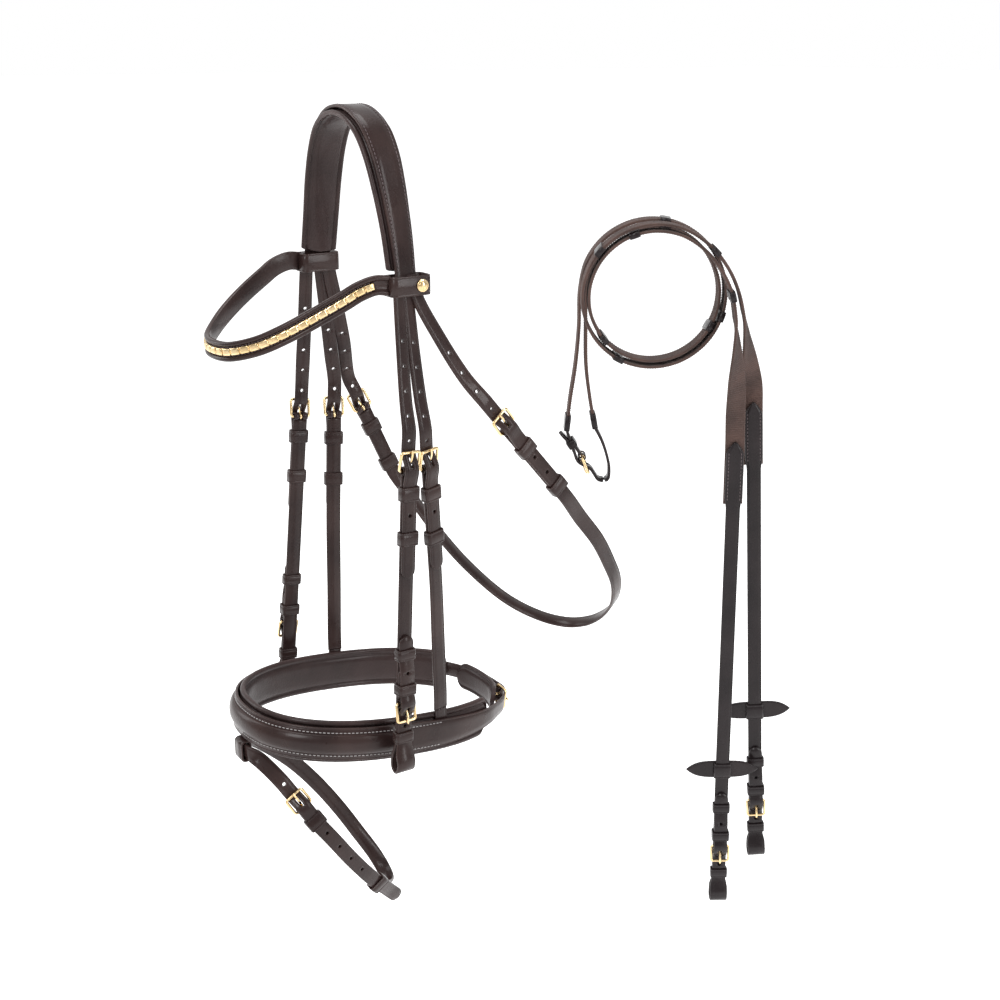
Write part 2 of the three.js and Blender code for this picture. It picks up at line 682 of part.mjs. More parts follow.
function throatlatch() {
  const { near, far } = frames;
  const straight = [-3.2, -20, -45, -70, -88];
  const rows = [
    ...straight.map((y) => frameRow(near.throat, y, 0)),
    ...throatMiddle,
    ...straight.slice(0, 4).reverse().map((y) => frameRow(far.throat, y, 0)),
  ];
  const pieces = [strap(rows, awayFrom(v3(0, 100, -230)))];
  for (const [frame, places] of [[near.throat, [-25, -72]], [far.throat, [-20, -58]]]) {
    pieces.push(eye(0, 0, false).applyMatrix4(frame.matrix));
    for (const y of places) {
      pieces.push(keeper(y, -LEATHER / 2, LAYER + LEATHER / 2, true).applyMatrix4(frame.matrix));
    }
  }
  return joined(pieces);
}

add('throatlatch', throatlatch(), brownLeather);
for (const [name, length] of Object.entries(THROAT_TAILS)) {
  const { throat } = frames[name];
  add(`${name}_throat_billet_tail`, billetTail(length), brownLeather, throat);
  buckle(`${name}_throat`, throat);
}

// Flash: a leather loop under the noseband's front carries a strap that closes on the near side
function flashLoop() {
  const { x, y, z } = FLASH_LOOP;
  const outer = box(14, 9.4, 18.8, x, y, z);
  return cut(outer, [box(20, 6, 15.6, x, y, z)]);
}

add('flash_loop', flashLoop(), brownLeather);

const flashAcross = v3(0, -0.81, -0.58);
const flash = setFrame(new THREE.Group(), v3(42, -86, -549), v3(-11, -14, 24), v3(1, -0.15, 0.35));
group.add(flash);
const flashUnder = [
  [50.5, -66, -580],
  [49.5, -50, -604],
  [46.5, -34, -626],
  [40.5, -19, -645],
];
const flashRound = [
  [33, -9, -657],
  [23, 1, -665],
  [11, 8, -668],
  [-1, 10, -664],
  [-12, 7, -653],
  [-22, -2, -635],
  [-31, -18, -606],
  [-37, -37, -577],
  [-39, -57, -552],
  [-37, -77, -532],
  [-30, -96, -515],
  [-17, -111, -505],
  [-8, -118, -503.4, 0, 1, v3(0, -1, 0)],
  [8, -118, -503.4, 0, 1, v3(0, -1, 0)],
  [17, -111.5, -509],
];

function flashStrap() {
  const tipRows = [
    [35, -10, -655, LAYER],
    [29.5, -2, -664.5, LAYER + 0.4],
    [25.5, 4.5, -672, LAYER + 1.2, 0.9],
    [23, 8, -676.5, LAYER + 1.6, 0.5],
  ];
  const rows = [
    frameRow(flash, -3.2, 0),
    frameRow(flash, -16, 0),
    ...flashUnder,
    ...flashRound,
    frameRow(flash, BUCKLE_REACH + 14, -0.5),
    ...billetEnd(flash),
    frameRow(flash, -1, OVER_EYE),
    frameRow(flash, -9, LAYER + 0.8),
    frameRow(flash, -17, LAYER),
    ...flashUnder.map((place) => [...place, LAYER]),
    ...tipRows,
  ];
  const path = strapPath(rows, flatAcross(flashAcross));
  const whole = sweep(path, rectangle(LEATHER, STRAP_WIDTH));
  const end = setFrame(new THREE.Group(), v3(...flashUnder[3]), v3(9, -22, 26), v3(1, 0.1, -0.3));
  return joined([
    cut(whole, [tongueHole(0, 3, 1).applyMatrix4(flash.matrix)]),
    eye(0, 0, false).applyMatrix4(flash.matrix),
    keeper(-15, -LEATHER / 2, LAYER + LEATHER / 2, true).applyMatrix4(flash.matrix),
    keeper(0, -LEATHER / 2, LAYER + LEATHER / 2 + 0.4, true).applyMatrix4(end.matrix),
  ]);
}

add('flash_strap', flashStrap(), brownLeather);
buckle('flash', flash);

// Reins, hung beside the headstall in an upright plane of their own: x along it, y through it
const reins = new THREE.Group();
reins.position.set(-5, 141, 0);
reins.rotation.z = THREE.MathUtils.degToRad(56.2);
reins.updateMatrix();
group.add(reins);
const front = v3(0, -1, 0);
const WEB_STRAIGHT = 2; // points of a web's end before it starts to turn to the front
const WEB_TURN = 3; // points over which it turns

const REINS = {
  near: {
    radius: 56,
    start: [[84, 21, -268], [80, 22, -246], [76, 21, -216], [75, 20.5, -182]],
    end: [[184, -25, -126], [193, -25, -144], [198, -24, -168], [201, -21, -192], [204, -12, -222],
      [206.5, -1, -256], [207.6, 2.7, -272]],
    top: v3(208, 0, -284),
    bottom: v3(214, 0, -747),
    stop: -322,
  },
  far: {
    radius: 61.5,
    start: [[60, 21, -270], [62.5, 22, -246], [66.5, 21, -216], [69, 20.5, -182]],
    end: [[189, -25, -123], [199, -22, -142], [206, -16, -165], [212, -6, -190], [218, 6, -213],
      [223, 16, -232], [224.5, 18.7, -242]],
    top: v3(225, 16, -252),
    bottom: v3(252, 16, -706),
    stop: -300,
  },
};

function coilRows(radius) {
  const rows = [];
  for (let i = 0; i <= COIL.steps; i += 1) {
    const part = i / COIL.steps;
    const angle = Math.PI * (1 - 2 * COIL.turns * part);
    const y = THREE.MathUtils.lerp(COIL.back, COIL.front, part);
    const radial = v3(Math.cos(angle), 0, Math.sin(angle));
    rows.push([COIL.x + radius * radial.x, y, COIL.z + radius * radial.z, 0, 1, radial]);
  }
  return rows;
}

const CLOSING = setFrame(new THREE.Group(), v3(74, 22, -300), v3(0.55, 0, -0.84), v3(-0.84, 0, -0.55));
reins.add(CLOSING);

function reinWeb({ radius, start, end, top, bottom }) {
  const down = bottom.clone().sub(top).normalize();
  const behind = v3(0, (LEATHER + WEB) / 2 + GAP, 0);
  const places = [0, PATCH_LENGTH * 0.5, PATCH_LENGTH];
  const legs = places.map((d) => top.clone().addScaledVector(down, d).add(behind));
  const turned = (i) => THREE.MathUtils.clamp((i - WEB_STRAIGHT) / WEB_TURN, 0, 1);
  const rows = [
    ...start.map((place) => [...place, 0, 1, v3(-1, 0, 0)]),
    ...coilRows(radius),
    ...end.map((place, i) => [...place, 0, 1, v3(1, 0, 0).lerp(front, turned(i))]),
    ...legs.map((point) => row(point, 0, 1, front)),
  ];
  return strap(rows, towards(front), { width: WEB_WIDTH, thickness: WEB, parts: 1 });
}

// A leather lozenge across the rein with a sleeve round it, which keeps a martingale ring off the buckle
function reinStop(length, height) {
  const half = length / 2;
  const outline = new THREE.Shape();
  outline.moveTo(-half, 0);
  outline.quadraticCurveTo(-half * 0.9, -height / 2, -half * 0.6, -height / 2);
  outline.lineTo(half * 0.6, -height / 2);
  outline.quadraticCurveTo(half * 0.9, -height / 2, half, 0);
  outline.quadraticCurveTo(half * 0.9, height / 2, half * 0.6, height / 2);
  outline.lineTo(-half * 0.6, height / 2);
  outline.quadraticCurveTo(-half * 0.9, height / 2, -half, 0);
  const plate = new THREE.ExtrudeGeometry(outline, { depth: 3, bevelEnabled: false, curveSegments: 4 });
  plate.translate(0, 0, -LEATHER / 2 - 0.4 - 3);
  const sleeve = keeper(0, -LEATHER / 2 - 0.4, LEATHER / 2, false, height + 2);
  return joined([plate, sleeve]);
}

for (const name of ['near', 'far']) {
  const rein = REINS[name];
  add(`${name}_rein_web`, reinWeb(rein), webbing, reins);
  const length = rein.top.distanceTo(rein.bottom);
  const leather = setFrame(new THREE.Group(), rein.top, rein.top.clone().sub(rein.bottom), front);
  reins.add(leather);
  const topRows = [
    [0, 2, 0, 0, 0.5],
    [0, -7, 0, 0, PATCH_SCALE],
    [0, -PATCH_LENGTH + 8, 0, 0, PATCH_SCALE],
    [0, -PATCH_LENGTH - 4, 0],
    [0, -PATCH_LENGTH - 60, 0],
    [0, -length * 0.5, 0],
    [0, -length + 150, 0],
  ];
  add(`${name}_rein_leather`, bitEndStrap(length, topRows), blackLeather, leather);
  buckle(`${name}_rein`, leather, -length + BIT_BUCKLE, BIT_EYE, true);
  const stop = add(`${name}_rein_stop`, reinStop(REIN_STOP.length, REIN_STOP.height), blackLeather, leather);
  stop.position.y = rein.stop;
}

// Centre of the reins: the far rein ends in a chape and buckle, the near rein in a billet
function closingChape() {
  const rows = [
    [59.5, 21.5, -273, 0, 1.1, v3(-1, 0, 0)],
    frameRow(CLOSING, -22, 0),
    frameRow(CLOSING, -10, 0),
    frameRow(CLOSING, -3.2, 0),
  ];
  const main = strap(rows, towards(v3(-1, 0, 0)));
  return joined([
    main,
    eye(0, 0, false).applyMatrix4(CLOSING.matrix),
    keeper(-15.5, -LEATHER / 2, LAYER + LEATHER / 2, true, 7).applyMatrix4(CLOSING.matrix),
  ]);
}

function closingBillet() {
  const outward = v3(1, 0, 0);
  const rows = [
    [85, 21, -272, 0, 1.1, outward.clone().negate()],
    [91, 22, -284],
    [96, 22, -298],
    [98.5, 22, -311],
    [97, 22, -321],
    frameRow(CLOSING, BUCKLE_REACH + 11, -1),
    ...billetEnd(CLOSING),
    frameRow(CLOSING, -1, OVER_EYE),
    frameRow(CLOSING, -8, LAYER + 0.8),
    frameRow(CLOSING, -18, LAYER),
    frameRow(CLOSING, -25, LAYER + 1, 0.9),
    frameRow(CLOSING, -30, LAYER + 2, 0.5),
  ];
  const billet = strap(rows, flatAcross(v3(0, 1, 0)));
  return cut(billet, [tongueHole(0, 3, 1).applyMatrix4(CLOSING.matrix)]);
}

add('far_rein_centre_chape', closingChape(), blackLeather, reins);
add('near_rein_centre_billet', closingBillet(), blackLeather, reins);
buckle('rein_centre', CLOSING);

export default group;
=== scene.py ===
import bisect
import math

import bmesh
import bpy
from mathutils import Matrix, Vector


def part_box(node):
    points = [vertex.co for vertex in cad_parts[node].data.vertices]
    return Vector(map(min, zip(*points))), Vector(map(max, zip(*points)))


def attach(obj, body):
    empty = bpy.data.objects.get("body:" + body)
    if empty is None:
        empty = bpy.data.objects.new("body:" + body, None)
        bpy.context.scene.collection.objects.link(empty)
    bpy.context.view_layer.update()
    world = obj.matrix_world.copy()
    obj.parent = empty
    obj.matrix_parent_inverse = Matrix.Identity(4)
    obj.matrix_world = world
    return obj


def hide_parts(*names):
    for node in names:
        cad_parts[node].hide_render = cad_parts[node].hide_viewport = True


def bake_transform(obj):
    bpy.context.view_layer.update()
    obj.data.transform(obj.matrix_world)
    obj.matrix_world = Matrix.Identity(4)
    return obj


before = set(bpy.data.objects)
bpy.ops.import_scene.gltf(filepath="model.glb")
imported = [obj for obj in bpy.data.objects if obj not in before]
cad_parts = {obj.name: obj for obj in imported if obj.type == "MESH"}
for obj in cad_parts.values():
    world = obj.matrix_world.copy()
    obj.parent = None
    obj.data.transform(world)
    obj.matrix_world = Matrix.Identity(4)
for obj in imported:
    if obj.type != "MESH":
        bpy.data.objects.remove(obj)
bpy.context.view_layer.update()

MM = 0.001

# Driving dimensions, metres
STRAP_WIDTH = 13 * MM
LEATHER = 2.4 * MM
LAYER = 2.7 * MM  # from one strap's middle to that of the strap lying on it
KEEPER_WALL = 1.3 * MM
KEEPER_WIDTH = 11 * MM
KEEPER_ROOM = 0.3 * MM
WIRE = 2.5 * MM
BUCKLE_REACH = 15 * MM  # heel bar to front bar
BUCKLE_CORNER = 1.9 * MM
BUCKLE_TILT = math.radians(11)
EYE_RADIUS = 3.05 * MM
EYE_WALL = 0.62 * MM
EYE_HALF = 2.3 * MM  # half the width of each half of the eye
EYE_OFFSET = 3.9 * MM
OVER_EYE = 5.2 * MM  # middle of a billet where it crosses the eye
BIT_EYE = 3 * MM  # height of the eye of a bit end's buckle over its strap
BIT_BUCKLE = 61 * MM  # from the bottom of the bit loop to that eye
BIT_FLARE = 1.3
WEB_WIDTH = 17.5 * MM
WEB = 2.6 * MM
WEB_RIBS = 7
HOLE_RADIUS = 1.5 * MM
HOLE_SPACING = 18.8 * MM
STITCH_LIFT = LEATHER / 2 + 0.1 * MM
STITCH_PITCH = 3.2 * MM
CHEEK_LENGTH = 252 * MM
TAIL_LENGTH = 86 * MM
THROAT_TAILS = {"near": 74 * MM, "far": 70 * MM}
SIDES = (("near", 1), ("far", -1))

# Camera, floor and light: metres, the lens in millimetres, light powers in watts
CAMERA = (0.984, -0.521, 0.052)
VIEW = (-0.790, 0.529, -0.309)
LENS = 50.4
AWAY = (-0.83, 0.556, 0)  # level, from the camera to the bridle
WORLD_GREY = 0.5
FLOOR_HALF = 40
FLOOR_GAP = 0.03  # between the floor and the lowest point of the part
FLOOR_FADE = (-0.35, -0.06)  # where the floor turns from grey to white, along AWAY
LIGHT_AIM = (0.05, 0.1, -0.35)
LIGHTS = (  # name, place, size and power
    ("key_light", (1.2, -1.7, 1.3), (0.9, 1.6), 38),
    ("side_light", (1.9, 0.9, 0.5), (0.5, 1.8), 22),
    ("top_light", (-0.3, 0.1, 1.9), (1.4, 1.0), 22),
    ("rear_light", (-1.3, -1.1, 0.5), (0.6, 1.6), 12),
)


def place(x, y, z):
    return Vector((x, y, z)) * MM


# ---- camera, floor and light

def linked(name, data):
    made = bpy.data.objects.new(name, data)
    bpy.context.collection.objects.link(made)
    return made


def camera():
    data = bpy.data.cameras.new("camera")
    data.lens = LENS
    data.sensor_width = 36
    made = linked("camera", data)
    made.location = CAMERA
    made.rotation_euler = Vector(VIEW).to_track_quat("-Z", "Y").to_euler()
    bpy.context.scene.camera = made


def light(name, location, size, power):
    data = bpy.data.lights.new(name, "AREA")
    data.shape = "RECTANGLE"
    data.size, data.size_y = size
    data.energy = power
    made = linked(name, data)
    made.location = location
    aim = Vector(LIGHT_AIM) - made.location
    made.rotation_euler = aim.to_track_quat("-Z", "Y").to_euler()


def surroundings():
    """White beyond the bridle and grey on the camera's side, so that leather and brass keep contrast."""
    world = bpy.data.worlds.new("studio")
    bpy.context.scene.world = world
    sky = Nodes(world, "Background")
    sky.feed("Strength", sky.fade(sky.beyond("Generated"), 0.1, 0.7, WORLD_GREY, 1.0))
    sky.set(Color=(1, 1, 1, 1))
    bpy.context.scene.view_settings.view_transform = "Standard"


def floor(height):
    """A plain pale floor, a little brighter below and beyond the bridle than on the camera's side."""
    mesh = bpy.data.meshes.new("floor")
    corners = [(x * FLOOR_HALF, y * FLOOR_HALF, height) for x, y in ((-1, -1), (1, -1), (1, 1), (-1, 1))]
    mesh.from_pydata(corners, [], [(0, 1, 2, 3)])
    made = linked("floor", mesh)
    pale = Nodes(bpy.data.materials.new("floor"))
    beyond = pale.beyond("Object")
    grey, white = (0.86, 0.86, 0.86), (0.9, 0.9, 0.9)
    pale.feed("Base Color", pale.blend(pale.fade(beyond, *FLOOR_FADE), grey, white))
    pale.feed("Emission Strength", pale.fade(beyond, *FLOOR_FADE, 0.26, 0.66))
    pale.set(Roughness=0.95, Emission_Color=(1, 1, 1, 1))
    mesh.materials.append(pale.owner)


# ---- materials, noise scales per metre

class Nodes:
    """The node tree of a material or world, with short ways to add and join nodes."""

    def __init__(self, owner, shader="Principled BSDF"):
        self.owner = owner
        owner.use_nodes = True
        self.tree = owner.node_tree
        self.shader = self.tree.nodes[shader]

    def node(self, kind, values=None, **settings):
        made = self.tree.nodes.new(kind)
        for key, value in settings.items():
            setattr(made, key, value)
        for key, value in (values or {}).items():
            made.inputs[key].default_value = value
        return made

    def join(self, source, target):
        self.tree.links.new(source, target)

    def put(self, socket, value):
        """Sets a socket to a number or colour, or joins it to another node's output."""
        if isinstance(value, tuple):
            socket.default_value = (*value, 1)
        elif isinstance(value, (int, float)):
            socket.default_value = value
        else:
            self.join(value, socket)

    def feed(self, socket, source):
        self.join(source, self.shader.inputs[socket])

    def coordinate(self, kind):
        return self.node("ShaderNodeTexCoord").outputs[kind]

    def beyond(self, kind):
        """How far a coordinate lies along AWAY."""
        made = self.node("ShaderNodeVectorMath", operation="DOT_PRODUCT")
        made.inputs[1].default_value = AWAY
        self.join(self.coordinate(kind), made.inputs[0])
        return made.outputs["Value"]

    def across(self):
        """The place across a strap, from 0 to 1."""
        split = self.node("ShaderNodeSeparateXYZ")
        self.join(self.coordinate("UV"), split.inputs[0])
        return split.outputs["X"]

    def noise(self, coordinate, scale, detail=4.0):
        made = self.node("ShaderNodeTexNoise", {"Scale": scale, "Detail": detail})
        self.join(coordinate, made.inputs["Vector"])
        return made.outputs["Fac"]

    def math(self, operation, first, second):
        made = self.node("ShaderNodeMath", operation=operation)
        self.put(made.inputs[0], first)
        self.put(made.inputs[1], second)
        return made.outputs[0]

    def blend(self, factor, first, second):
        made = self.node("ShaderNodeMix", data_type="RGBA")
        self.join(factor, made.inputs[0])
        self.put(made.inputs[6], first)
        self.put(made.inputs[7], second)
        return made.outputs[2]

    def fade(self, value, low=0.3, high=0.7, start=0.0, end=1.0):
        limits = {"From Min": low, "From Max": high, "To Min": start, "To Max": end}
        made = self.node("ShaderNodeMapRange", limits)
        self.join(value, made.inputs["Value"])
        return made.outputs["Result"]

    def bump(self, layers):
        """layers are (height, distance in metres), the coarsest first."""
        normal = None
        for height, distance in layers:
            made = self.node("ShaderNodeBump", {"Strength": 1.0, "Distance": distance})
            self.join(height, made.inputs["Height"])
            if normal:
                self.join(normal, made.inputs["Normal"])
            normal = made.outputs["Normal"]
        self.feed("Normal", normal)

    def set(self, **values):
        for key, value in values.items():
            self.shader.inputs[key.replace("_", " ")].default_value = value


def leather(name, deep, worn, low, high, grain):
    """Dyed leather: cloudy colour, pebble grain, fine pores, and a painted highlight along each edge, broken
    up by the cloud noise.
    """
    made = Nodes(bpy.data.materials.new(name))
    spot = made.coordinate("Object")
    cloud = made.noise(spot, 26)
    pores = made.noise(spot, 1500, 2)
    cells = made.node("ShaderNodeTexVoronoi", {"Scale": 620.0})
    made.join(spot, cells.inputs["Vector"])
    # Painted highlight: the colour is painted paler towards each edge of the strap, in cloudy patches.
    from_middle = made.math("ABSOLUTE", made.math("SUBTRACT", made.across(), 0.5), 0)
    edge = made.fade(from_middle, 0.455, 0.5)
    edge_highlight_mask = made.math("MULTIPLY", edge, made.fade(cloud, 0.35, 0.7, 0.3, 1.0))
    body = made.blend(made.fade(cloud, 0.3, 0.72), deep, worn)
    edge_highlight = tuple(1.9 * c for c in worn)
    made.feed("Base Color", made.blend(made.math("MULTIPLY", edge_highlight_mask, 0.55), body, edge_highlight))
    made.feed("Roughness", made.fade(made.noise(spot, 70), start=low, end=high))
    made.bump([(cloud, 0.5 * MM), (cells.outputs["Distance"], grain), (pores, grain * 0.5)])
    made.set(Specular_IOR_Level=0.16, Coat_Weight=0.15, Coat_Roughness=0.14)
    return made.owner


def brass():
    made = Nodes(bpy.data.materials.new("brass"))
    spot = made.coordinate("Object")
    cloud = made.fade(made.noise(spot, 60))
    made.feed("Base Color", made.blend(cloud, (0.74, 0.53, 0.27), (0.88, 0.69, 0.41)))
    made.feed("Roughness", made.fade(made.noise(spot, 420), start=0.14, end=0.26))
    made.bump([(made.noise(spot, 900, 2), 0.03 * MM)])
    made.set(Metallic=1.0)
    return made.owner


def webbing():
    """Ribbed cotton: a fine weave across the ribs, and fibres that catch the light."""
    made = Nodes(bpy.data.materials.new("webbing"))
    spot = made.coordinate("Object")
    threads = made.math("SINE", made.math("MULTIPLY", made.across(), 130), 0)
    shade = made.math("ADD", made.math("MULTIPLY", threads, 0.14), made.noise(spot, 45))
    deep, pale = (0.036, 0.018, 0.014), (0.088, 0.047, 0.037)
    made.feed("Base Color", made.blend(made.fade(shade, 0.3, 0.75), deep, pale))
    made.bump([(threads, 0.12 * MM), (made.noise(spot, 1800, 3), 0.2 * MM)])
    made.set(Roughness=0.85, Sheen_Weight=0.1, Sheen_Roughness=0.5)
    return made.owner


def thread(name, colour):
    made = Nodes(bpy.data.materials.new(name))
    twist = made.noise(made.coordinate("Object"), 2200, 2)
    made.feed("Base Color", made.blend(made.fade(twist), tuple(0.7 * c for c in colour), colour))
    made.bump([(twist, 0.08 * MM)])
    made.set(Roughness=0.7)
    return made.owner


# ---- routes

def frame_at(origin, along, face):
    """x across the strap, y from the heel bar to the front bar, z the way the face looks."""
    y = along.normalized()
    z = (face - y * face.dot(y)).normalized()
    turn = Matrix((y.cross(z), y, z)).transposed()
    return Matrix.Translation(origin) @ turn.to_4x4()


def spline(points, t):
    """Centripetal Catmull-Rom through the points, at t counted in points."""
    last = len(points) - 1
    i = min(max(int(t), 0), last - 1)
    w = t - i
    p1, p2 = points[i], points[i + 1]
    p0 = points[i - 1] if i > 0 else 2 * p1 - p2
    p3 = points[i + 2] if i + 2 <= last else 2 * p2 - p1
    d0, d1, d2 = ((b - a).length ** 0.5 for a, b in ((p0, p1), (p1, p2), (p2, p3)))
    t1 = ((p1 - p0) / d0 - (p2 - p0) / (d0 + d1) + (p2 - p1) / d1) * d1
    t2 = ((p2 - p1) / d1 - (p3 - p1) / (d1 + d2) + (p3 - p2) / d2) * d1
    return p1 + t1 * w + (3 * p2 - 3 * p1 - 2 * t1 - t2) * w ** 2 + (2 * p1 - 2 * p2 + t1 + t2) * w ** 3


def direction(points, t):
    last = len(points) - 1
    step = 1e-3
    return (spline(points, min(t + step, last)) - spline(points, max(t - step, 0))).normalized()


MARKS = 16  # measured places along a route from each of its points to the next


class Route:
    """A strap's middle line, with the way its face looks and its width scale at each point."""

    def __init__(self, rows, facing):
        bare = [row[0] for row in rows]
        self.faces = []
        for i, row in enumerate(rows):
            along = direction(bare, i)
            face = row[3] if row[3] is not None else facing(bare[i], along)
            self.faces.append((face - along * face.dot(along)).normalized())
        self.points = [p + f * row[1] for p, f, row in zip(bare, self.faces, rows)]
        self.scales = [row[2] for row in rows]
        self.marks = [0.0]
        before = self.points[0]
        for k in range(1, MARKS * (len(rows) - 1) + 1):
            point = spline(self.points, k / MARKS)
            self.marks.append(self.marks[-1] + (point - before).length)
            before = point
        self.length = self.marks[-1]

    def at(self, distance):
        """Point, along, across (scaled) and face at a distance from the start."""
        distance = min(max(distance, 0), self.length)
        low = min(bisect.bisect_right(self.marks, distance), len(self.marks) - 1) - 1
        s0, s1 = self.marks[low:low + 2]
        t = (low + (distance - s0) / max(s1 - s0, 1e-9)) / MARKS
        i = min(int(t), len(self.faces) - 2)
        along = direction(self.points, t)
        face = self.faces[i].lerp(self.faces[i + 1], t - i)
        face = (face - along * face.dot(along)).normalized()
        scale = self.scales[i] + (self.scales[i + 1] - self.scales[i]) * (t - i)
        return spline(self.points, t), along, along.cross(face) * scale, face

    def nearest(self, point):
        """The distance along the route at which it passes closest to a point."""
        steps = int(self.length / MM)
        return min((k * MM for k in range(steps)), key=lambda s: (self.at(s)[0] - point).length)


def row(x, y, z, lift=0.0, scale=1.0, face=None):
    """A point of a route in millimetres. lift moves it towards its face."""
    return (place(x, y, z), lift * MM, scale, face)


def frame_row(matrix, y, z, scale=1.0):
    """A point of a route in a frame, in metres, that faces as the frame does."""
    return (matrix @ Vector((0, y, z)), 0.0, scale, matrix.to_3x3() @ Vector((0, 0, 1)))


def frame_rows(matrix, places, scale=1.0):
    return [frame_row(matrix, y, z, scale) for y, z in places]


def rows_in(matrix, rows):
    turn = matrix.to_3x3()
    return [(matrix @ p, lift, scale, None if face is None else turn @ face) for p, lift, scale, face in rows]


def flat_across(across):
    return lambda point, along: across.cross(along)


def towards(way):
    return lambda point, along: Vector(way)


def billet_end(matrix, scale=1.0):
    """A billet as it goes in under the front bar and climbs over the eye."""
    places = [(BUCKLE_REACH + 5 * MM, -0.6 * MM), (BUCKLE_REACH - 1.5 * MM, -0.5 * MM), (7 * MM, 2.8 * MM),
              (3 * MM, OVER_EYE - 0.35 * MM)]
    return frame_rows(matrix, places, scale)


# ---- mesh building

class Form:
    """Closed shells gathered into one mesh, with strap coordinates as its UV map."""

    def __init__(self):
        self.points, self.faces, self.uvs, self.smooth = [], [], [], []

    def grid(self, rings, uvs, closed=False):
        """Rings of points joined one to the next. An open run gets a cap at each end."""
        base, count = len(self.points), len(rings[0])
        for ring in rings:
            self.points.extend(ring)
        total = len(rings) if closed else len(rings) - 1
        for i in range(total):
            for j in range(count):
                corners = ((i, j), (i, j + 1), (i + 1, j + 1), (i + 1, j))
                self.faces.append([base + (a % len(rings)) * count + b % count for a, b in corners])
                self.uvs.append([uvs(a, b) for a, b in corners])
                self.smooth.append(True)
        if not closed:
            for ring, order in ((0, range(count - 1, -1, -1)), (len(rings) - 1, range(count))):
                self.faces.append([base + ring * count + j for j in order])
                self.uvs.append([uvs(ring, j) for j in order])
                self.smooth.append(False)

    def strap(self, route, width=STRAP_WIDTH, thickness=LEATHER, step=2 * MM, section=None,
              round_start=0.0, round_end=0.0, start=0.0, end=None, ripple=None):
        """Sweeps a strap section along a route. A rounded end narrows over the length given."""
        end = route.length if end is None else end
        outline = section or strap_section(width, thickness)
        stops = list(spaced(start, end, step))
        for tip, sign, origin in ((round_start, 1, start), (round_end, -1, end)):
            stops += [origin + sign * tip * part for part in (0.02, 0.08, 0.2, 0.4, 0.65) if tip]
        stops = sorted(set(stops))
        rings = []
        for stop in stops:
            point, _, across, face = route.at(stop)
            narrow = tip_scale(stop - start, round_start) * tip_scale(end - stop, round_end)
            swell = 1 + ripple(stop) if ripple else 1
            rings.append([point + across * (a * narrow) + face * (h * swell) for a, h in outline])
        self.grid(rings, lambda i, j: (outline[j % len(outline)][0] / width + 0.5,
                                       stops[min(i, len(stops) - 1)]))
        return self

    def loop(self, outline, section, matrix, axes):
        """Carries a section round a closed outline. axes says which local axes the outline lies in."""
        u, v, w = axes
        rings = []
        for (a, b), (na, nb) in outline:
            rings.append([matrix @ (u * (a + na * out) + v * (b + nb * out) + w * side)
                          for out, side in section])
        widest = max(abs(side) for _, side in section) or 1
        self.grid(rings, lambda i, j: (0.5 + 0.5 * section[j % len(section)][1] / widest, i * MM),
                  closed=True)

    def lathe(self, profile, matrix, turns=32):
        """Turns (radius, height) points about the matrix's z axis."""
        rings = []
        for radius, height in profile:
            rings.append([matrix @ Vector((*spot, height)) for spot in round_section(radius, radius, turns)])
        self.grid(rings, lambda i, j: (0.5, 0.0))

    def pillow(self, matrix, levels):
        """A block built up from rectangles: levels are (half length, half width, height)."""
        rings = []
        for a, b, h in levels:
            cut = 0.12 * min(a, b)
            corners = [(a, b - cut), (a - cut, b), (-a + cut, b), (-a, b - cut)]
            corners += [(x, -y) for x, y in reversed(corners)]
            rings.append([matrix @ Vector((x, y, h)) for x, y in corners])
        self.grid(rings, lambda i, j: (0.5, 0.0))

    def stitches(self, route, start, end, across, lift, pitch, scaled):
        """A row of thread stitches at a distance across the strap and over its middle layer."""
        half_length, radius = 1.15 * MM, 0.4 * MM
        for stop in spaced(start, end, pitch):
            point, along, side, face = route.at(stop)
            unit = side.normalized()
            middle = point + (side if scaled else unit) * across + face * lift
            rings = []
            for part, fat in ((-1, 0.25), (-0.6, 0.9), (0.6, 0.9), (1, 0.25)):
                centre = middle + along * (part * half_length)
                section = round_section(radius * fat, radius * fat, 6)
                rings.append([centre + unit * a + face * b for a, b in section])
            self.grid(rings, lambda i, j: (0.5, 0.0))

    def mesh(self, name):
        mesh = bpy.data.meshes.new(name)
        mesh.from_pydata([tuple(p) for p in self.points], [], self.faces)
        layer = mesh.uv_layers.new(name="strap")
        layer.data.foreach_set("uv", [c for face in self.uvs for uv in face for c in uv])
        mesh.polygons.foreach_set("use_smooth", self.smooth)
        flipped = bmesh.new()
        flipped.from_mesh(mesh)
        bmesh.ops.recalc_face_normals(flipped, faces=flipped.faces)
        flipped.to_mesh(mesh)
        flipped.free()
        return mesh

    def build(self, name, slot, body=None, *nodes, material=None, cutters=None, fittings=None):
        """One object of this form, which rides on the body and replaces the nodes. The cutters' mesh is
        cut out of it, and the fittings' shells are added after the cut."""
        mesh = self.mesh(name)
        if cutters:
            mesh = cut(mesh, cutters)
        if fittings:
            both = bmesh.new()
            both.from_mesh(mesh)
            both.from_mesh(fittings.mesh(name + "_fittings"))
            both.to_mesh(mesh)
            both.free()
        mesh.materials.clear()
        mesh.materials.append(material or MATERIALS[slot])
        made = linked(name, mesh)
        if body:
            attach(made, body)
        if nodes:
            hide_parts(*nodes)
        return made


def sew(name, slot, body, route, across, span, lift=STITCH_LIFT, pitch=STITCH_PITCH, thread=None,
        scaled=False):
    """Two rows of stitches, one on each side of a strap's middle."""
    form = Form()
    for side in (-across, across):
        form.stitches(route, *span, side, lift, pitch, scaled)
    form.build(name, slot, body, material=thread or DARK_THREAD)


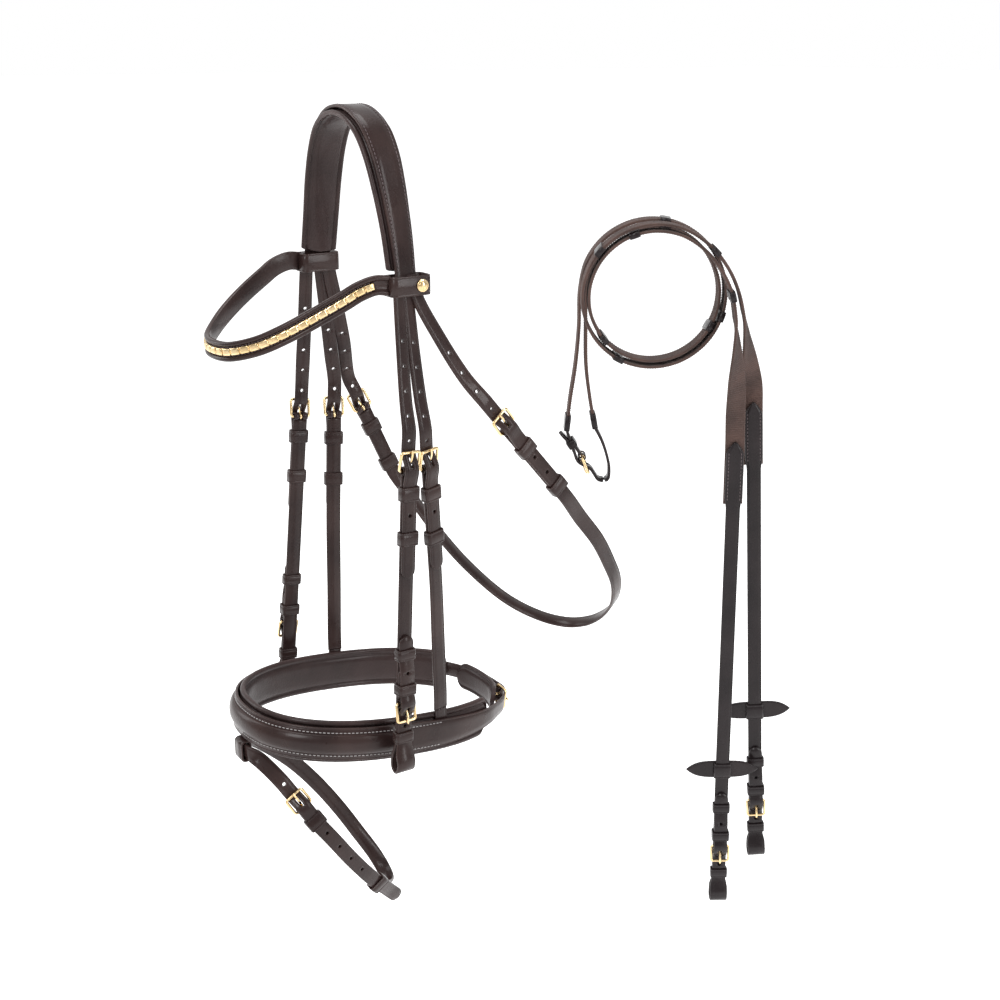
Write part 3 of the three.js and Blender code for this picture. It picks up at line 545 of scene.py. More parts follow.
def arc(centre, radius, start, end, parts):
    """Points of an arc between two angles in degrees."""
    angles = [math.radians(start + (end - start) * k / parts) for k in range(parts + 1)]
    return [(centre[0] + radius * math.cos(a), centre[1] + radius * math.sin(a)) for a in angles]


def spaced(start, end, step):
    count = max(int(round((end - start) / step)), 1)
    return [start + (end - start) * k / count for k in range(count + 1)]


def tip_scale(distance, length):
    if not length or distance >= length:
        return 1.0
    return max(math.sqrt(max(1 - (1 - distance / length) ** 2, 0)), 0.12)


def strap_section(width, thickness):
    """Rounded edges, a creased line inside each edge, and a slight crown between the creases."""
    w, h = width / 2, thickness / 2
    top = [(-w, 0), (-w + 0.15 * MM, h * 0.6), (-w + 0.5 * MM, h), (-w + 1.1 * MM, h + 0.04 * MM),
           (-w + 1.4 * MM, h - 0.24 * MM), (-w + 1.7 * MM, h + 0.06 * MM), (-w * 0.4, h + 0.16 * MM)]
    top += [(-a, b) for a, b in reversed(top)]
    return top + [(w - 0.15 * MM, -h * 0.6), (w - 0.5 * MM, -h), (-w + 0.5 * MM, -h),
                  (-w + 0.15 * MM, -h * 0.6)]


def web_section(width, thickness):
    """Lengthwise ribs between two bound edges, the same on both faces."""
    w, h = width / 2, thickness / 2
    top = [(-w, 0), (-w + 0.3 * MM, h * 0.7)]
    for k in range(2 * WEB_RIBS + 1):
        a = (w - 0.9 * MM) * (k / WEB_RIBS - 1)
        top.append((a, h if k % 2 == 0 else h - 0.32 * MM))
    top += [(w - 0.3 * MM, h * 0.7), (w, 0)]
    return top + [(a, -b) for a, b in reversed(top[1:-1])]


def piped_section(width, thickness, pipe):
    """A stuffed pad between two piped edges, which stand off from its crowned faces by a sewn groove."""
    w, h, groove = width / 2, thickness / 2, width / 2 - 2 * pipe - 0.7 * MM
    edge = arc((w - pipe, 0.6 * MM), pipe, 150, -150, 10)
    crown = [(groove * a, h * b) for a, b in ((0.97, 0.62), (0.85, 0.86), (0.5, 0.98), (0, 1.0))]
    upper = crown[::-1] + [(groove + 0.3 * MM, 0.35 * h)]
    right = upper + edge + [(groove + 0.3 * MM, -0.35 * h)] + [(a, -b) for a, b in crown]
    left = [(-a, b) for a, b in right[1:-1]]
    return right + left[::-1]


def round_section(radius_out, radius_side, parts=12):
    angles = [2 * math.pi * k / parts for k in range(parts)]
    return [(radius_out * math.cos(a), radius_side * math.sin(a)) for a in angles]


def band_section(wall, length):
    """A keeper's leather: square with soft edges and a crease inside each one."""
    e, half = 0.3 * MM, length / 2
    outside = [(wall - e, -half), (wall, -half + e), (wall + 0.05 * MM, -half + 1.2 * MM),
               (wall - 0.2 * MM, -half + 1.5 * MM), (wall + 0.1 * MM, -half + 1.9 * MM)]
    outside += [(a, -b) for a, b in reversed(outside)]
    return [(0, half - e), (0, -half + e)] + outside


def rounded(low, high, radius, parts=5):
    """A closed outline round the box from low to high, with its outward directions."""
    outline = []
    corners = ((high[0] - radius, high[1] - radius, 0), (low[0] + radius, high[1] - radius, 90),
               (low[0] + radius, low[1] + radius, 180), (high[0] - radius, low[1] + radius, 270))
    for a, b, turn in corners:
        for k in range(parts + 1):
            angle = math.radians(turn + 90 * k / parts)
            c, s = math.cos(angle), math.sin(angle)
            outline.append(((a + radius * c, b + radius * s), (c, s)))
    return outline


def circle(radius, parts=24):
    """A closed outline round a circle, with its outward directions."""
    return list(zip(round_section(radius, radius, parts), round_section(1, 1, parts)))


X, Y, Z = Vector((1, 0, 0)), Vector((0, 1, 0)), Vector((0, 0, 1))


def keeper(form, matrix, y, high=LAYER + LEATHER / 2, length=KEEPER_WIDTH, low=-LEATHER / 2):
    """A leather band round layers of strap from low to high: two of them unless told otherwise."""
    side = STRAP_WIDTH / 2 + KEEPER_ROOM
    outline = rounded((-side, low - 0.2 * MM), (side, high + KEEPER_ROOM), 0.8 * MM)
    form.loop(outline, band_section(KEEPER_WALL, length), matrix @ Matrix.Translation((0, y, 0)), (X, Z, Y))


def eye(form, matrix, y=0.0, z=0.0):
    """The chape round the heel bar, parted in the middle for the tongue."""
    for x in (-EYE_OFFSET, EYE_OFFSET):
        centre = matrix @ Matrix.Translation((x, y, z))
        form.loop(circle(EYE_RADIUS), round_section(EYE_WALL, EYE_HALF), centre, (Y, Z, X))


def punches(route, stops, slots=()):
    """A mesh of the round holes at the stops and of the tongue slots in the given frames."""
    tools = bmesh.new()
    for stop in stops:
        point, along, _, face = route.at(stop)
        bmesh.ops.create_cone(tools, cap_ends=True, segments=16, radius1=HOLE_RADIUS, radius2=HOLE_RADIUS,
                              depth=3.6 * MM, matrix=frame_at(point, along, face))
    for matrix in slots:
        bmesh.ops.create_cube(tools, size=1, matrix=matrix @ Matrix.Translation((0, 6.5 * MM, 3 * MM))
                              @ Matrix.Diagonal((2.6 * MM, 8 * MM, 12 * MM, 1)))
    mesh = bpy.data.meshes.new("cutters")
    tools.to_mesh(mesh)
    tools.free()
    return mesh


def cut(mesh, cutters):
    """The mesh with the cutters taken out of it."""
    whole, tool = linked("whole", mesh), linked("cutters", cutters)
    modifier = whole.modifiers.new("holes", "BOOLEAN")
    modifier.object = tool
    modifier.operation = "DIFFERENCE"
    modifier.solver = "MANIFOLD"
    evaluated = whole.evaluated_get(bpy.context.evaluated_depsgraph_get())
    result = bpy.data.meshes.new_from_object(evaluated)
    if len(result.vertices) < 0.9 * len(mesh.vertices):
        raise RuntimeError(f"{mesh.name} lost faces in its cut")
    bpy.data.objects.remove(whole)
    bpy.data.objects.remove(tool)
    bpy.data.meshes.remove(cutters)
    return result


# ---- brass

def buckle(name, matrix, body, tongue_body, y=0.0, z=0.0, turned=False):
    holder = matrix @ Matrix.Translation((0, y, z)) @ Matrix.Rotation(math.pi if turned else 0, 4, "Z")
    half = STRAP_WIDTH / 2 + 0.5 * MM + WIRE / 2
    form = Form()
    outline = rounded((-half, 0), (half, BUCKLE_REACH), BUCKLE_CORNER, 6)
    tilted = holder @ Matrix.Rotation(BUCKLE_TILT, 4, "X")
    form.loop(outline, round_section(WIRE / 2, WIRE / 2), tilted, (X, Y, Z))
    form.build(f"{name}_buckle_wire", "brass", body, f"{name}_buckle")

    form = Form()
    points = arc((0, 0), 2.35, 75, 365, 10) + [(4.4, 1.7), (7.2, 3.3), (12, 5.0), (16.6, 5.25)]
    rows = [(holder @ Vector((0, a * MM, b * MM)), 0.0, 1.0, None) for a, b in points]
    route = Route(rows, flat_across(holder.to_3x3() @ X))
    width, thickness, step = 1.9 * MM, 1.2 * MM, 0.6 * MM
    form.strap(route, width, thickness, step, round_section(width / 2, thickness / 2), round_end=1 * MM)
    form.build(f"{name}_tongue_wire", "brass", tongue_body, f"{name}_tongue")


# ---- straps with a bit loop

def bit_end(name, matrix, length, top_rows, slot, body, node, has_eye=False):
    """The lower end of a cheekpiece or rein: round the bit ring, back up its own face, and buckled."""
    b = -length
    turn = [(60, 0), (40, 0), (25, 0), (17, -1.2), (9, -2.8), (3, -1.2), (1.2, 2.2), (3, 5.6), (9, 7.2),
            (17, 4.6), (26, 2.7), (40, 2.7), (48.5, 2.5), (54, 5.6), (58, 7.5), (62, 8.2), (70, 5.6),
            (86, 5.4), (93, 4), (99, 2.7), (108, 2.7), (118, 2.7)]
    rows = [(Vector((0, y, z)), 0.0, scale, None) for y, z, scale in top_rows]
    rows += [(Vector((0, b + y * MM, z * MM)), 0.0, BIT_FLARE if y < 20 else 1.0, None) for y, z in turn]
    facing = flat_across(matrix.to_3x3() @ -X)
    route = Route(rows_in(matrix, rows), facing)
    form = Form().strap(route, round_end=7 * MM)
    fittings = Form()
    chape = [(Vector((0, b + y * MM, 2.5 * MM)), 0.0, 1.0, None) for y in (90, 78, 65.4)]
    fittings.strap(Route(rows_in(matrix, chape), facing), round_start=4 * MM)
    eye(fittings, matrix, b + BIT_BUCKLE, BIT_EYE)
    for y, layers in ((73, 3), (102, 2), (31, 2)):
        keeper(fittings, matrix, b + y * MM, (layers - 1) * LAYER + LEATHER / 2, 9 * MM)
    if has_eye:
        eye(fittings, matrix)
        keeper(fittings, matrix, -18 * MM)
    turned = matrix @ Matrix.Translation((0, b + BIT_BUCKLE, BIT_EYE)) @ Matrix.Rotation(math.pi, 4, "Z")
    over = route.nearest(matrix @ Vector((0, b + BIT_BUCKLE, BIT_EYE + OVER_EYE)))
    holes = punches(route, [over + 26 * MM, over - 22 * MM], [turned])
    form.build(name, slot, body, node, cutters=holes, fittings=fittings)
    return route


# ---- pieces

camera()
surroundings()
for values in LIGHTS:
    light(*values)
floor(min(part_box(node)[0].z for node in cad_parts) - FLOOR_GAP)

LEATHERS = {
    "brown_leather": ((0.017, 0.009, 0.0085), (0.036, 0.021, 0.019), 0.24, 0.38, 0.08 * MM),
    "pad_leather": ((0.017, 0.0095, 0.0090), (0.034, 0.020, 0.019), 0.36, 0.5, 0.14 * MM),
    "black_leather": ((0.0085, 0.0060, 0.0066), (0.019, 0.0138, 0.0148), 0.2, 0.34, 0.07 * MM),
}
MATERIALS = {name: leather(name, *look) for name, look in LEATHERS.items()}
MATERIALS["brass"] = brass()
MATERIALS["webbing"] = webbing()
PALE_THREAD = thread("pale_thread", (0.42, 0.40, 0.40))
DARK_THREAD = thread("dark_thread", (0.12, 0.09, 0.095))

# Reins first: they hang beside the headstall in an upright plane of their own
REINS = Matrix.Translation(place(-5, 141, 0)) @ Matrix.Rotation(math.radians(56.2), 4, "Z")
PATCH_LENGTH = 55
COIL = {"x": 131, "z": -149.5, "turns": 1.375, "steps": 20, "back": 20, "front": -25}
FRONT = -Y
REIN = {
    "near": {
        "radius": 56,
        "first_hand_stop": 217 * MM,
        "start": [(84, 21, -268), (80, 22, -246), (76, 21, -216), (75, 20.5, -182)],
        "end": [(184, -25, -126), (193, -25, -144), (198, -24, -168), (201, -21, -192), (204, -12, -222),
                (206.5, -1, -256), (207.6, 2.7, -272)],
        "top": (208, 0, -284),
        "bottom": (214, 0, -747),
        "stop": -322,
    },
    "far": {
        "radius": 61.5,
        "first_hand_stop": 227 * MM,
        "start": [(60, 21, -270), (62.5, 22, -246), (66.5, 21, -216), (69, 20.5, -182)],
        "end": [(189, -25, -123), (199, -22, -142), (206, -16, -165), (212, -6, -190), (218, 6, -213),
                (223, 16, -232), (224.5, 18.7, -242)],
        "top": (225, 16, -252),
        "bottom": (252, 16, -706),
        "stop": -300,
    },
}
WEB_STRAIGHT = 2  # points of a web's end before it starts to turn to the front
WEB_TURN = 3  # points over which it turns
HAND_STOPS = 5
HAND_STOP_SPACING = 108 * MM
HAND_STOP_WIDTH = 9 * MM
SLEEVE = (2 * MM, 14 * MM)  # middle and width of the band over each web's first end
REIN_STOP_HALF = (34 * MM, 8.5 * MM)  # half its width and half its height


def coil_rows(radius):
    rows = []
    for i in range(COIL["steps"] + 1):
        part = i / COIL["steps"]
        angle = math.pi * (1 - 2 * COIL["turns"] * part)
        y = COIL["back"] + (COIL["front"] - COIL["back"]) * part
        out = Vector((math.cos(angle), 0, math.sin(angle)))
        rows.append(row(COIL["x"] + radius * out.x, y, COIL["z"] + radius * out.z, face=out))
    return rows


def rein(name):
    data = REIN[name]
    top, bottom = place(*data["top"]), place(*data["bottom"])
    down = (bottom - top).normalized()
    behind = Vector((0, (LEATHER + WEB) / 2 + 0.3 * MM, 0))
    rows = [row(*p, face=-X) for p in data["start"]] + coil_rows(data["radius"])
    turns = [min(max((i - WEB_STRAIGHT) / WEB_TURN, 0), 1) for i in range(len(data["end"]))]
    rows += [row(*p, face=X.lerp(FRONT, turn)) for p, turn in zip(data["end"], turns)]
    rows += [(top + down * (d * MM) + behind, 0.0, 1.0, FRONT) for d in (0, PATCH_LENGTH / 2, PATCH_LENGTH)]
    route = Route(rows_in(REINS, rows), towards(REINS.to_3x3() @ FRONT))
    form = Form()
    form.strap(route, WEB_WIDTH, WEB, 0.55 * MM, web_section(WEB_WIDTH, WEB),
               ripple=lambda s: 0.16 * math.sin(2 * math.pi * s / (2.2 * MM)))
    web = form.build(f"{name}_rein_webbing", "webbing", "reins", f"{name}_rein_web")
    stops = Form()
    bands = [(data["first_hand_stop"] + k * HAND_STOP_SPACING, HAND_STOP_WIDTH) for k in range(HAND_STOPS)]
    half = (WEB_WIDTH / 2 + 0.3 * MM, 1.65 * MM)
    outline = rounded((-half[0], -half[1]), half, 0.8 * MM)
    for distance, wide in [SLEEVE, *bands]:
        point, along, _, face = route.at(distance)
        stops.loop(outline, band_section(0.9 * MM, wide), frame_at(point, along, face), (X, Z, Y))
    hand = stops.build(f"{name}_rein_hand_stops", "black_leather", "reins")
    points = [route.at(s)[0] for s in spaced(0, route.length, 5 * MM)]

    length = (bottom - top).length
    matrix = REINS @ frame_at(top, top - bottom, FRONT)
    patch = PATCH_LENGTH * MM
    top_rows = [(3 * MM, 0, 0.12), (-2 * MM, 0, 0.8), (-8 * MM, 0, 1.22), (-patch + 8 * MM, 0, 1.22),
                (-patch - 4 * MM, 0, 1), (-patch - 60 * MM, 0, 1), (-length * 0.5, 0, 1),
                (-length + 150 * MM, 0, 1)]
    line = bit_end(f"{name}_rein_end", matrix, length, top_rows, "black_leather", "reins",
                   f"{name}_rein_leather")
    sew(f"{name}_rein_sewing", "black_leather", "reins", line, 5.6 * MM, (11 * MM, patch - 2 * MM))
    buckle(f"{name}_rein", matrix, "reins", f"{name}_rein_tongue", -length + BIT_BUCKLE, BIT_EYE, True)

    form = Form()
    at = matrix @ Matrix.Translation((0, data["stop"] * MM, -LEATHER / 2 - 1.9 * MM))
    half, tall = REIN_STOP_HALF
    outline = [(half * c, tall * math.copysign(1 - abs(c) ** 4, s)) for c, s in round_section(1, 1, 48)]
    levels = ((0.96, -1.5), (1.0, -1.0), (1.0, 0.9), (0.97, 1.35), (0.9, 1.5))
    form.grid([[at @ Vector((a * k, c * k, h * MM)) for a, c in outline] for k, h in levels],
              lambda i, j: (0.5, 0.0))
    keeper(form, matrix, data["stop"] * MM, LEATHER / 2, 15 * MM, -LEATHER / 2 - 0.2 * MM)
    form.build(f"{name}_rein_stop_leather", "black_leather", f"{name}_rein_stop", f"{name}_rein_stop")


for side_name in REIN:
    rein(side_name)

CLOSING = REINS @ frame_at(place(74, 22, -300), Vector((0.55, 0, -0.84)), Vector((-0.84, 0, -0.55)))


def rein_centre():
    form = Form()
    rows = rows_in(REINS, [row(59.5, 21.5, -273, scale=1.1, face=-X)])
    rows += [frame_row(CLOSING, y * MM, 0) for y in (-22, -10, -3.2)]
    form.strap(Route(rows, towards(REINS.to_3x3() @ -X)))
    eye(form, CLOSING)
    keeper(form, CLOSING, -15.5 * MM, length=7 * MM)
    form.build("rein_centre_chape", "black_leather", "reins", "far_rein_centre_chape")

    form = Form()
    rows = [row(85, 21, -272, scale=1.1, face=-X)]
    rows += [row(x, 22, z) for x, z in ((91, -284), (96, -298), (98.5, -311), (97, -321))]
    rows = rows_in(REINS, rows)
    rows += [frame_row(CLOSING, BUCKLE_REACH + 11 * MM, -1 * MM), *billet_end(CLOSING)]
    rows += frame_rows(CLOSING, [(-1 * MM, OVER_EYE), (-8 * MM, LAYER + 0.8 * MM), (-18 * MM, LAYER),
                                 (-30 * MM, LAYER + 2 * MM)])
    route = Route(rows, flat_across(REINS.to_3x3() @ Y))
    form.strap(route, round_end=6 * MM)
    form.build("rein_centre_billet", "black_leather", "reins", "near_rein_centre_billet",
               cutters=punches(route, [], [CLOSING]))
    buckle("rein_centre", CLOSING, "reins", "rein_centre_tongue")


rein_centre()

# Frames of the headstall's buckles: the heel bar's place, the way up the strap, and the lean of the face
BUCKLES = {
    "near": {
        "cheek": ((97, -11, -256), (-1, 13, 252), 0.05),
        "hanger": ((93, 9, -258), (11, -19, 233), 0.2),
        "throat": ((100, 78, -235), (-2, -44, 52), 0.1),
    },
    "far": {
        "cheek": ((-97, -7, -256), (1, 25, 252), 0.05),
        "hanger": ((-93, 24, -258), (-11, 17, 233), 0.2),
        "throat": ((-97, 55, -257), (-5, -23, 54), 0.1),
    },
}
FRAMES = {}
for side_name, side in SIDES:
    FRAMES[side_name] = {
        kind: frame_at(place(*spot), Vector(along), Vector((side, lean, 0)))
        for kind, (spot, along, lean) in BUCKLES[side_name].items()
    }

# Headpiece: the crown, and three billets on each side that run on to their tips below the buckles
CROWN_LEATHER = 24.5 * MM
CROWN_PAD = (33 * MM, 5.8 * MM)
CROWN_LINE = [(0, 0, 8.2, 1), (18, 0, 5, 1), (35, 1, -5, 1), (48, 2, -23, 0.98), (58, 3, -48, 0.95),
              (66, 4, -78, 0.91), (71.5, 4, -104, 0.88)]
CROWN_FOOT = (73, 4, -116, 0.88)
PAD_FOOT = (72.2, 4, -108.5, 0.88)


def mirrored(line, make):
    return [make(-1, p) for p in reversed(line[1:])] + [make(1, p) for p in line]


def crown_facing(point, along):
    turn = math.radians(20) * min(max((-point.z / MM - 10) / 100, 0), 1)
    out = Vector((math.copysign(math.cos(turn), point.x), math.sin(turn), 0)) * abs(point.x) / MM
    return out + Vector((0, 0, 55))


def crown():
    line = [*CROWN_LINE, CROWN_FOOT]
    route = Route(mirrored(line, lambda s, p: row(s * p[0], p[1], p[2], scale=p[3])), crown_facing)
    Form().strap(route, CROWN_LEATHER).build("crown_leather", "brown_leather", "headstall", "headpiece")
    span = (8 * MM, route.length - 8 * MM)
    sew("crown_sewing", "brown_leather", "headstall", route, 9.7 * MM, span, scaled=True)

    under = -(LEATHER / 2 + 3.3 * MM + 0.9 * MM) / MM
    line = [*CROWN_LINE[:-1], PAD_FOOT]
    pad_route = Route(mirrored(line, lambda s, p: row(s * p[0], p[1], p[2], under, p[3])), crown_facing)
    section = piped_section(*CROWN_PAD, 2.1 * MM)
    form = Form().strap(pad_route, *CROWN_PAD, section=section, round_start=2 * MM, round_end=2 * MM)
    pad = form.build("crown_pad", "pad_leather", "headstall", "crown_padding")


BILLETS = {
    "near": {
        "cheek": [(76, -4, -112), (78.5, -5, -130), (85, -7, -170), (92, -9, -205)],
        "hanger": [(72.5, 4, -112), (75, 4.5, -130), (81.5, 5, -170), (88, 6, -205)],
        "throat": [(72, 10.5, -112), (74.5, 12.5, -128), (82, 27, -160), (91, 45, -193)],
    },
    "far": {
        "cheek": [(76, -4, -112), (78.5, -4.5, -130), (85, -4.5, -170), (92, -4.3, -205)],
        "hanger": [(72.5, 5, -112), (75.5, 8, -130), (83, 15.5, -170), (90, 22, -205)],
        "throat": [(70.5, 11, -112), (72.2, 14, -128), (78, 23, -160), (87.5, 33, -193)],
    },
}
BODIES = {"cheek": "{}_cheek", "hanger": "cavesson", "throat": "throatlatch"}


def tail_rows(matrix, length):
    places = [(-2.4 * MM, OVER_EYE - 0.2 * MM), (-6 * MM, LAYER + 1.3 * MM), (-10.5 * MM, LAYER + 0.3 * MM),
              (-16 * MM, LAYER), (-length / 2, LAYER), (-length + 12 * MM, LAYER), (-length, LAYER)]
    return frame_rows(matrix, places)


def billet(name, side, kind):
    matrix = FRAMES[name][kind]
    length = THROAT_TAILS[name] if kind == "throat" else TAIL_LENGTH
    rows = [row(side * x, y, z, scale=0.86 + 0.14 * i / 3) for i, (x, y, z) in enumerate(BILLETS[name][kind])]
    rows += [frame_row(matrix, BUCKLE_REACH + 16 * MM, -0.4 * MM), *billet_end(matrix),
             frame_row(matrix, 0.2 * MM, OVER_EYE), *tail_rows(matrix, length)]
    route = Route(rows, towards((side, 0.25, 0)))
    form = Form().strap(route, STRAP_WIDTH - 0.6 * MM, round_end=7 * MM)
    bar = route.nearest(matrix.translation + matrix.to_3x3() @ Z * OVER_EYE)
    count = 4 if kind == "throat" else 5
    above = [bar - 24 * MM - k * HOLE_SPACING for k in range(count)]
    holes = punches(route, above + [bar + 36 * MM, bar + 36 * MM + HOLE_SPACING], [matrix])
    made = form.build(f"{name}_{kind}_billet", "brown_leather", None, "headpiece",
                      f"{name}_{kind}_billet_tail", cutters=holes)
    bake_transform(made)


crown()
for side_name, side in SIDES:
    for kind in BODIES:
        billet(side_name, side, kind)
        buckle(f"{side_name}_{kind}", FRAMES[side_name][kind], "headstall", f"{side_name}_{kind}_tongue")

# Cheekpieces
CHEEK_TOP = [(y * MM, 0, 1) for y in (-3.2, -20, -60, -120)]


def cheekpiece(name):
    matrix, body = FRAMES[name]["cheek"], f"{name}_cheek"
    bit_end(f"{name}_cheek_strap", matrix, CHEEK_LENGTH, CHEEK_TOP, "brown_leather", body,
            f"{name}_cheekpiece", has_eye=True)
    buckle(f"{name}_bit", matrix, body, f"{name}_bit_tongue", -CHEEK_LENGTH + BIT_BUCKLE, BIT_EYE, True)
    form = Form()
    keeper(form, matrix, -54 * MM)
    form.build(f"{name}_cheek_runner_loop", "brown_leather", f"{name}_cheek_runner", f"{name}_cheek_runner")


for side_name in FRAMES:
    cheekpiece(side_name)

# Browband
LOOP = {"x": 74, "y": 4.3, "z": -119, "depth": 15, "length": 31}
BROW_LINE = [(0, -122, -166), (21, -118, -165), (40, -104, -159), (53, -88, -150), (63, -68, -138.5),
             (70, -47, -127), (73, -35, -120.5), (74.5, -22, -117)]
BROWBAND_WIDTH = 15 * MM
PIPING = (5.6, 1.9)  # place across and radius of each piped edge, millimetres
CLINCHER_HALF = 2.6 * MM
CLINCHER_PLATES = 36
STUD_PROFILE = [(0.1, -1.2), (4.6, -1.2), (4.9, -0.9), (4.9, -0.3), (4.4, 0.2), (3.9, 0.0), (3.5, 0.5),
                (2.6, 1.1), (1.4, 1.4), (0.1, 1.5)]


def brow_facing(point, along):
    return Vector((point.x / 76 ** 2, point.y / 122 ** 2, 0)).normalized()


def browband_section():
    """Two piped edges with a channel between them for the clincher, and a flat lining."""
    outline = []
    place_across, radius = PIPING
    for middle in (-place_across, place_across):
        outline += arc((middle, 0.6), radius, 180, 0, 8)
    outline += [(7.4, -1.4), (6.8, -1.9), (-6.8, -1.9), (-7.4, -1.4)]
    return [(a * MM, b * MM) for a, b in outline]


def browband():
    end = (LOOP["x"] + 2, LOOP["y"] - LOOP["length"] / 2 - 1, LOOP["z"] + 1)
    route = Route(mirrored([*BROW_LINE, end], lambda s, p: row(s * p[0], p[1], p[2])), brow_facing)
    form = Form().strap(route, BROWBAND_WIDTH, section=browband_section())
    for _, s in SIDES:
        centre = Matrix.Translation(place(s * LOOP["x"], LOOP["y"], LOOP["z"]))
        half = (LOOP["depth"] / 2 * MM, LOOP["length"] / 2 * MM)
        outline = rounded((-half[0], -half[1]), half, 3 * MM)
        form.loop(outline, band_section(1.5 * MM, BROWBAND_WIDTH), centre, (X, Y, Z))
    form.build("browband_leather", "brown_leather", "headstall", "browband")
    span = (16 * MM, route.length - 16 * MM)
    sew("browband_sewing", "brown_leather", "headstall", route, 3.2 * MM, span, 0.85 * MM, 2.7 * MM)

    form = Form()
    start, finish = 12 * MM, route.length - 12 * MM
    half = CLINCHER_HALF
    strip = [(-half, 0.9 * MM), (half, 0.9 * MM), (half, 1.9 * MM), (-half, 1.9 * MM)]
    form.strap(route, 2 * half, section=strip, start=start, end=finish)
    pitch = (finish - start) / CLINCHER_PLATES
    for k in range(CLINCHER_PLATES):
        point, along, _, face = route.at(start + (k + 0.5) * pitch)
        matrix = frame_at(point, along, face)
        a, b = half, pitch * 0.455
        form.pillow(matrix, [(a, b, 1.5 * MM), (a, b, 2.1 * MM), (a * 0.9, b * 0.9, 2.75 * MM),
                             (a * 0.62, b * 0.62, 2.95 * MM), (a * 0.3, b * 0.3, 3.0 * MM)])
    form.build("clincher_brass", "brass", "headstall", "clincher")

    for name, s in SIDES:
        form = Form()
        at = place(s * (LOOP["x"] + LOOP["depth"] / 2 + 3), LOOP["y"] + 8, LOOP["z"])
        form.lathe([(r * MM, h * MM) for r, h in STUD_PROFILE], frame_at(at, Z, Vector((s, 0, 0))))
        form.build(f"{name}_stud_brass", "brass", "headstall", f"{name}_browband_stud")


browband()

# Noseband, built in its own tilted plane
NOSE = Matrix.Translation(place(0, 3, -493)) @ Matrix.Rotation(math.radians(-7.1), 4, "X")
NOSE_HALF = (78, 118)
NOSE_SHAPE = 2 / 2.3
NOSE_SKIN = 2.2
NOSE_HEIGHT = 28 * MM
NARROW = STRAP_WIDTH / NOSE_HEIGHT
JAW_PLACE = 0.68  # of the way along the part of the ring where its buckle sits
ROLL_HALF = (8.6 * MM, 4.3 * MM)
NOSE_PADS = (  # piece, node, degrees round the noseband, width, thickness and lift
    ("noseband_pad", "noseband_padding", range(-150, 131, 5), 36 * MM, 6 * MM, -3.6),
    ("chin_pad_leather", "chin_pad", range(150, 201, 5), 25 * MM, 4 * MM, -4.6),
)


def nose_bend(value):
    return math.copysign(abs(value) ** NOSE_SHAPE, value)


def nose_row(degrees, lift, scale=1.0):
    """0 degrees is over the nose, 90 the near cheek, 180 under the jaw."""
    angle = math.radians(degrees)
    x, y = NOSE_HALF[0] * nose_bend(math.sin(angle)), -NOSE_HALF[1] * nose_bend(math.cos(angle))
    power = 2 / NOSE_SHAPE - 1
    out = [math.copysign(abs(v / half) ** power / half, v) for v, half in zip((x, y), NOSE_HALF)]
    return row(x, y, 0, lift, scale, Vector((*out, 0)).normalized())


def nose_scale(degrees):
    part = min(max((abs(degrees) - 75) / 75, 0), 1)
    return 1 + (NARROW - 1) * part * part * (3 - 2 * part)


def nose_route(angles, lift, scale=None):
    rows = [nose_row(a, lift, scale(a) if scale else 1.0) for a in angles]
    return Route(rows_in(NOSE, rows), towards((0, 0, 1)))


def noseband():
    heel = nose_route((150, 160, 167, 174), NOSE_SKIN)
    point, along, _, face = heel.at(JAW_PLACE * heel.length)
    jaw = frame_at(point, -along, face)
    rows = [frame_row(jaw, -3.2 * MM, 0, NARROW)]
    rows += rows_in(NOSE, [nose_row(a, NOSE_SKIN, nose_scale(a)) for a in range(-180, 141, 10)])
    rows += billet_end(jaw, NARROW)
    rows += frame_rows(jaw, [(-1 * MM, OVER_EYE), (-8 * MM, LAYER + 1 * MM)], NARROW)
    rows += rows_in(NOSE, [nose_row(a, NOSE_SKIN + 2.7, NARROW) for a in (182, 187, 192, 197, 202)])
    route = Route(rows, towards((0, 0, 1)))
    form = Form().strap(route, NOSE_HEIGHT, round_end=7 * MM)
    fittings = Form()
    eye(fittings, jaw)
    form.build("noseband_leather", "brown_leather", "cavesson", "noseband",
               cutters=punches(route, [], [jaw]), fittings=fittings)
    buckle("jaw", jaw, "cavesson", "jaw_tongue")

    roll = nose_route(range(-84, 85, 4), NOSE_SKIN + 1.1)
    outline = [(ROLL_HALF[0] * a, ROLL_HALF[1] * b) for a, b in arc((0, 0), 1, 180, 0, 16)]
    form = Form().strap(roll, 17 * MM, section=outline, round_start=12 * MM, round_end=12 * MM)
    form.build("noseband_roll", "brown_leather", "cavesson", "noseband_front_roll")

    band = nose_route(range(-90, 101, 5), NOSE_SKIN)
    span = (6 * MM, band.length - 6 * MM)
    sew("noseband_sewing", "brown_leather", "cavesson", band, 10 * MM, span, LEATHER / 2 + 0.12 * MM,
        3.3 * MM, PALE_THREAD)

    for name, node, angles, width, thick, lift in NOSE_PADS:
        section, route = piped_section(width, thick, 0.42 * thick), nose_route(angles, lift)
        form = Form().strap(route, width, section=section, round_start=8 * MM, round_end=8 * MM)
        pad = form.build(name, "pad_leather", "cavesson", node)


noseband()

HANGER_ENDS = {
    "near": [(83, 21.8, -420), (79.5, 25, -460), (77.4, 26.2, -474), (77, 27.2, -486), (76.7, 28.1, -502)],
    "far": [(83, 12.2, -420), (79.8, 9.2, -460), (78, 8.2, -474), (77.8, 7.4, -486), (77.7, 6.4, -502)],
}


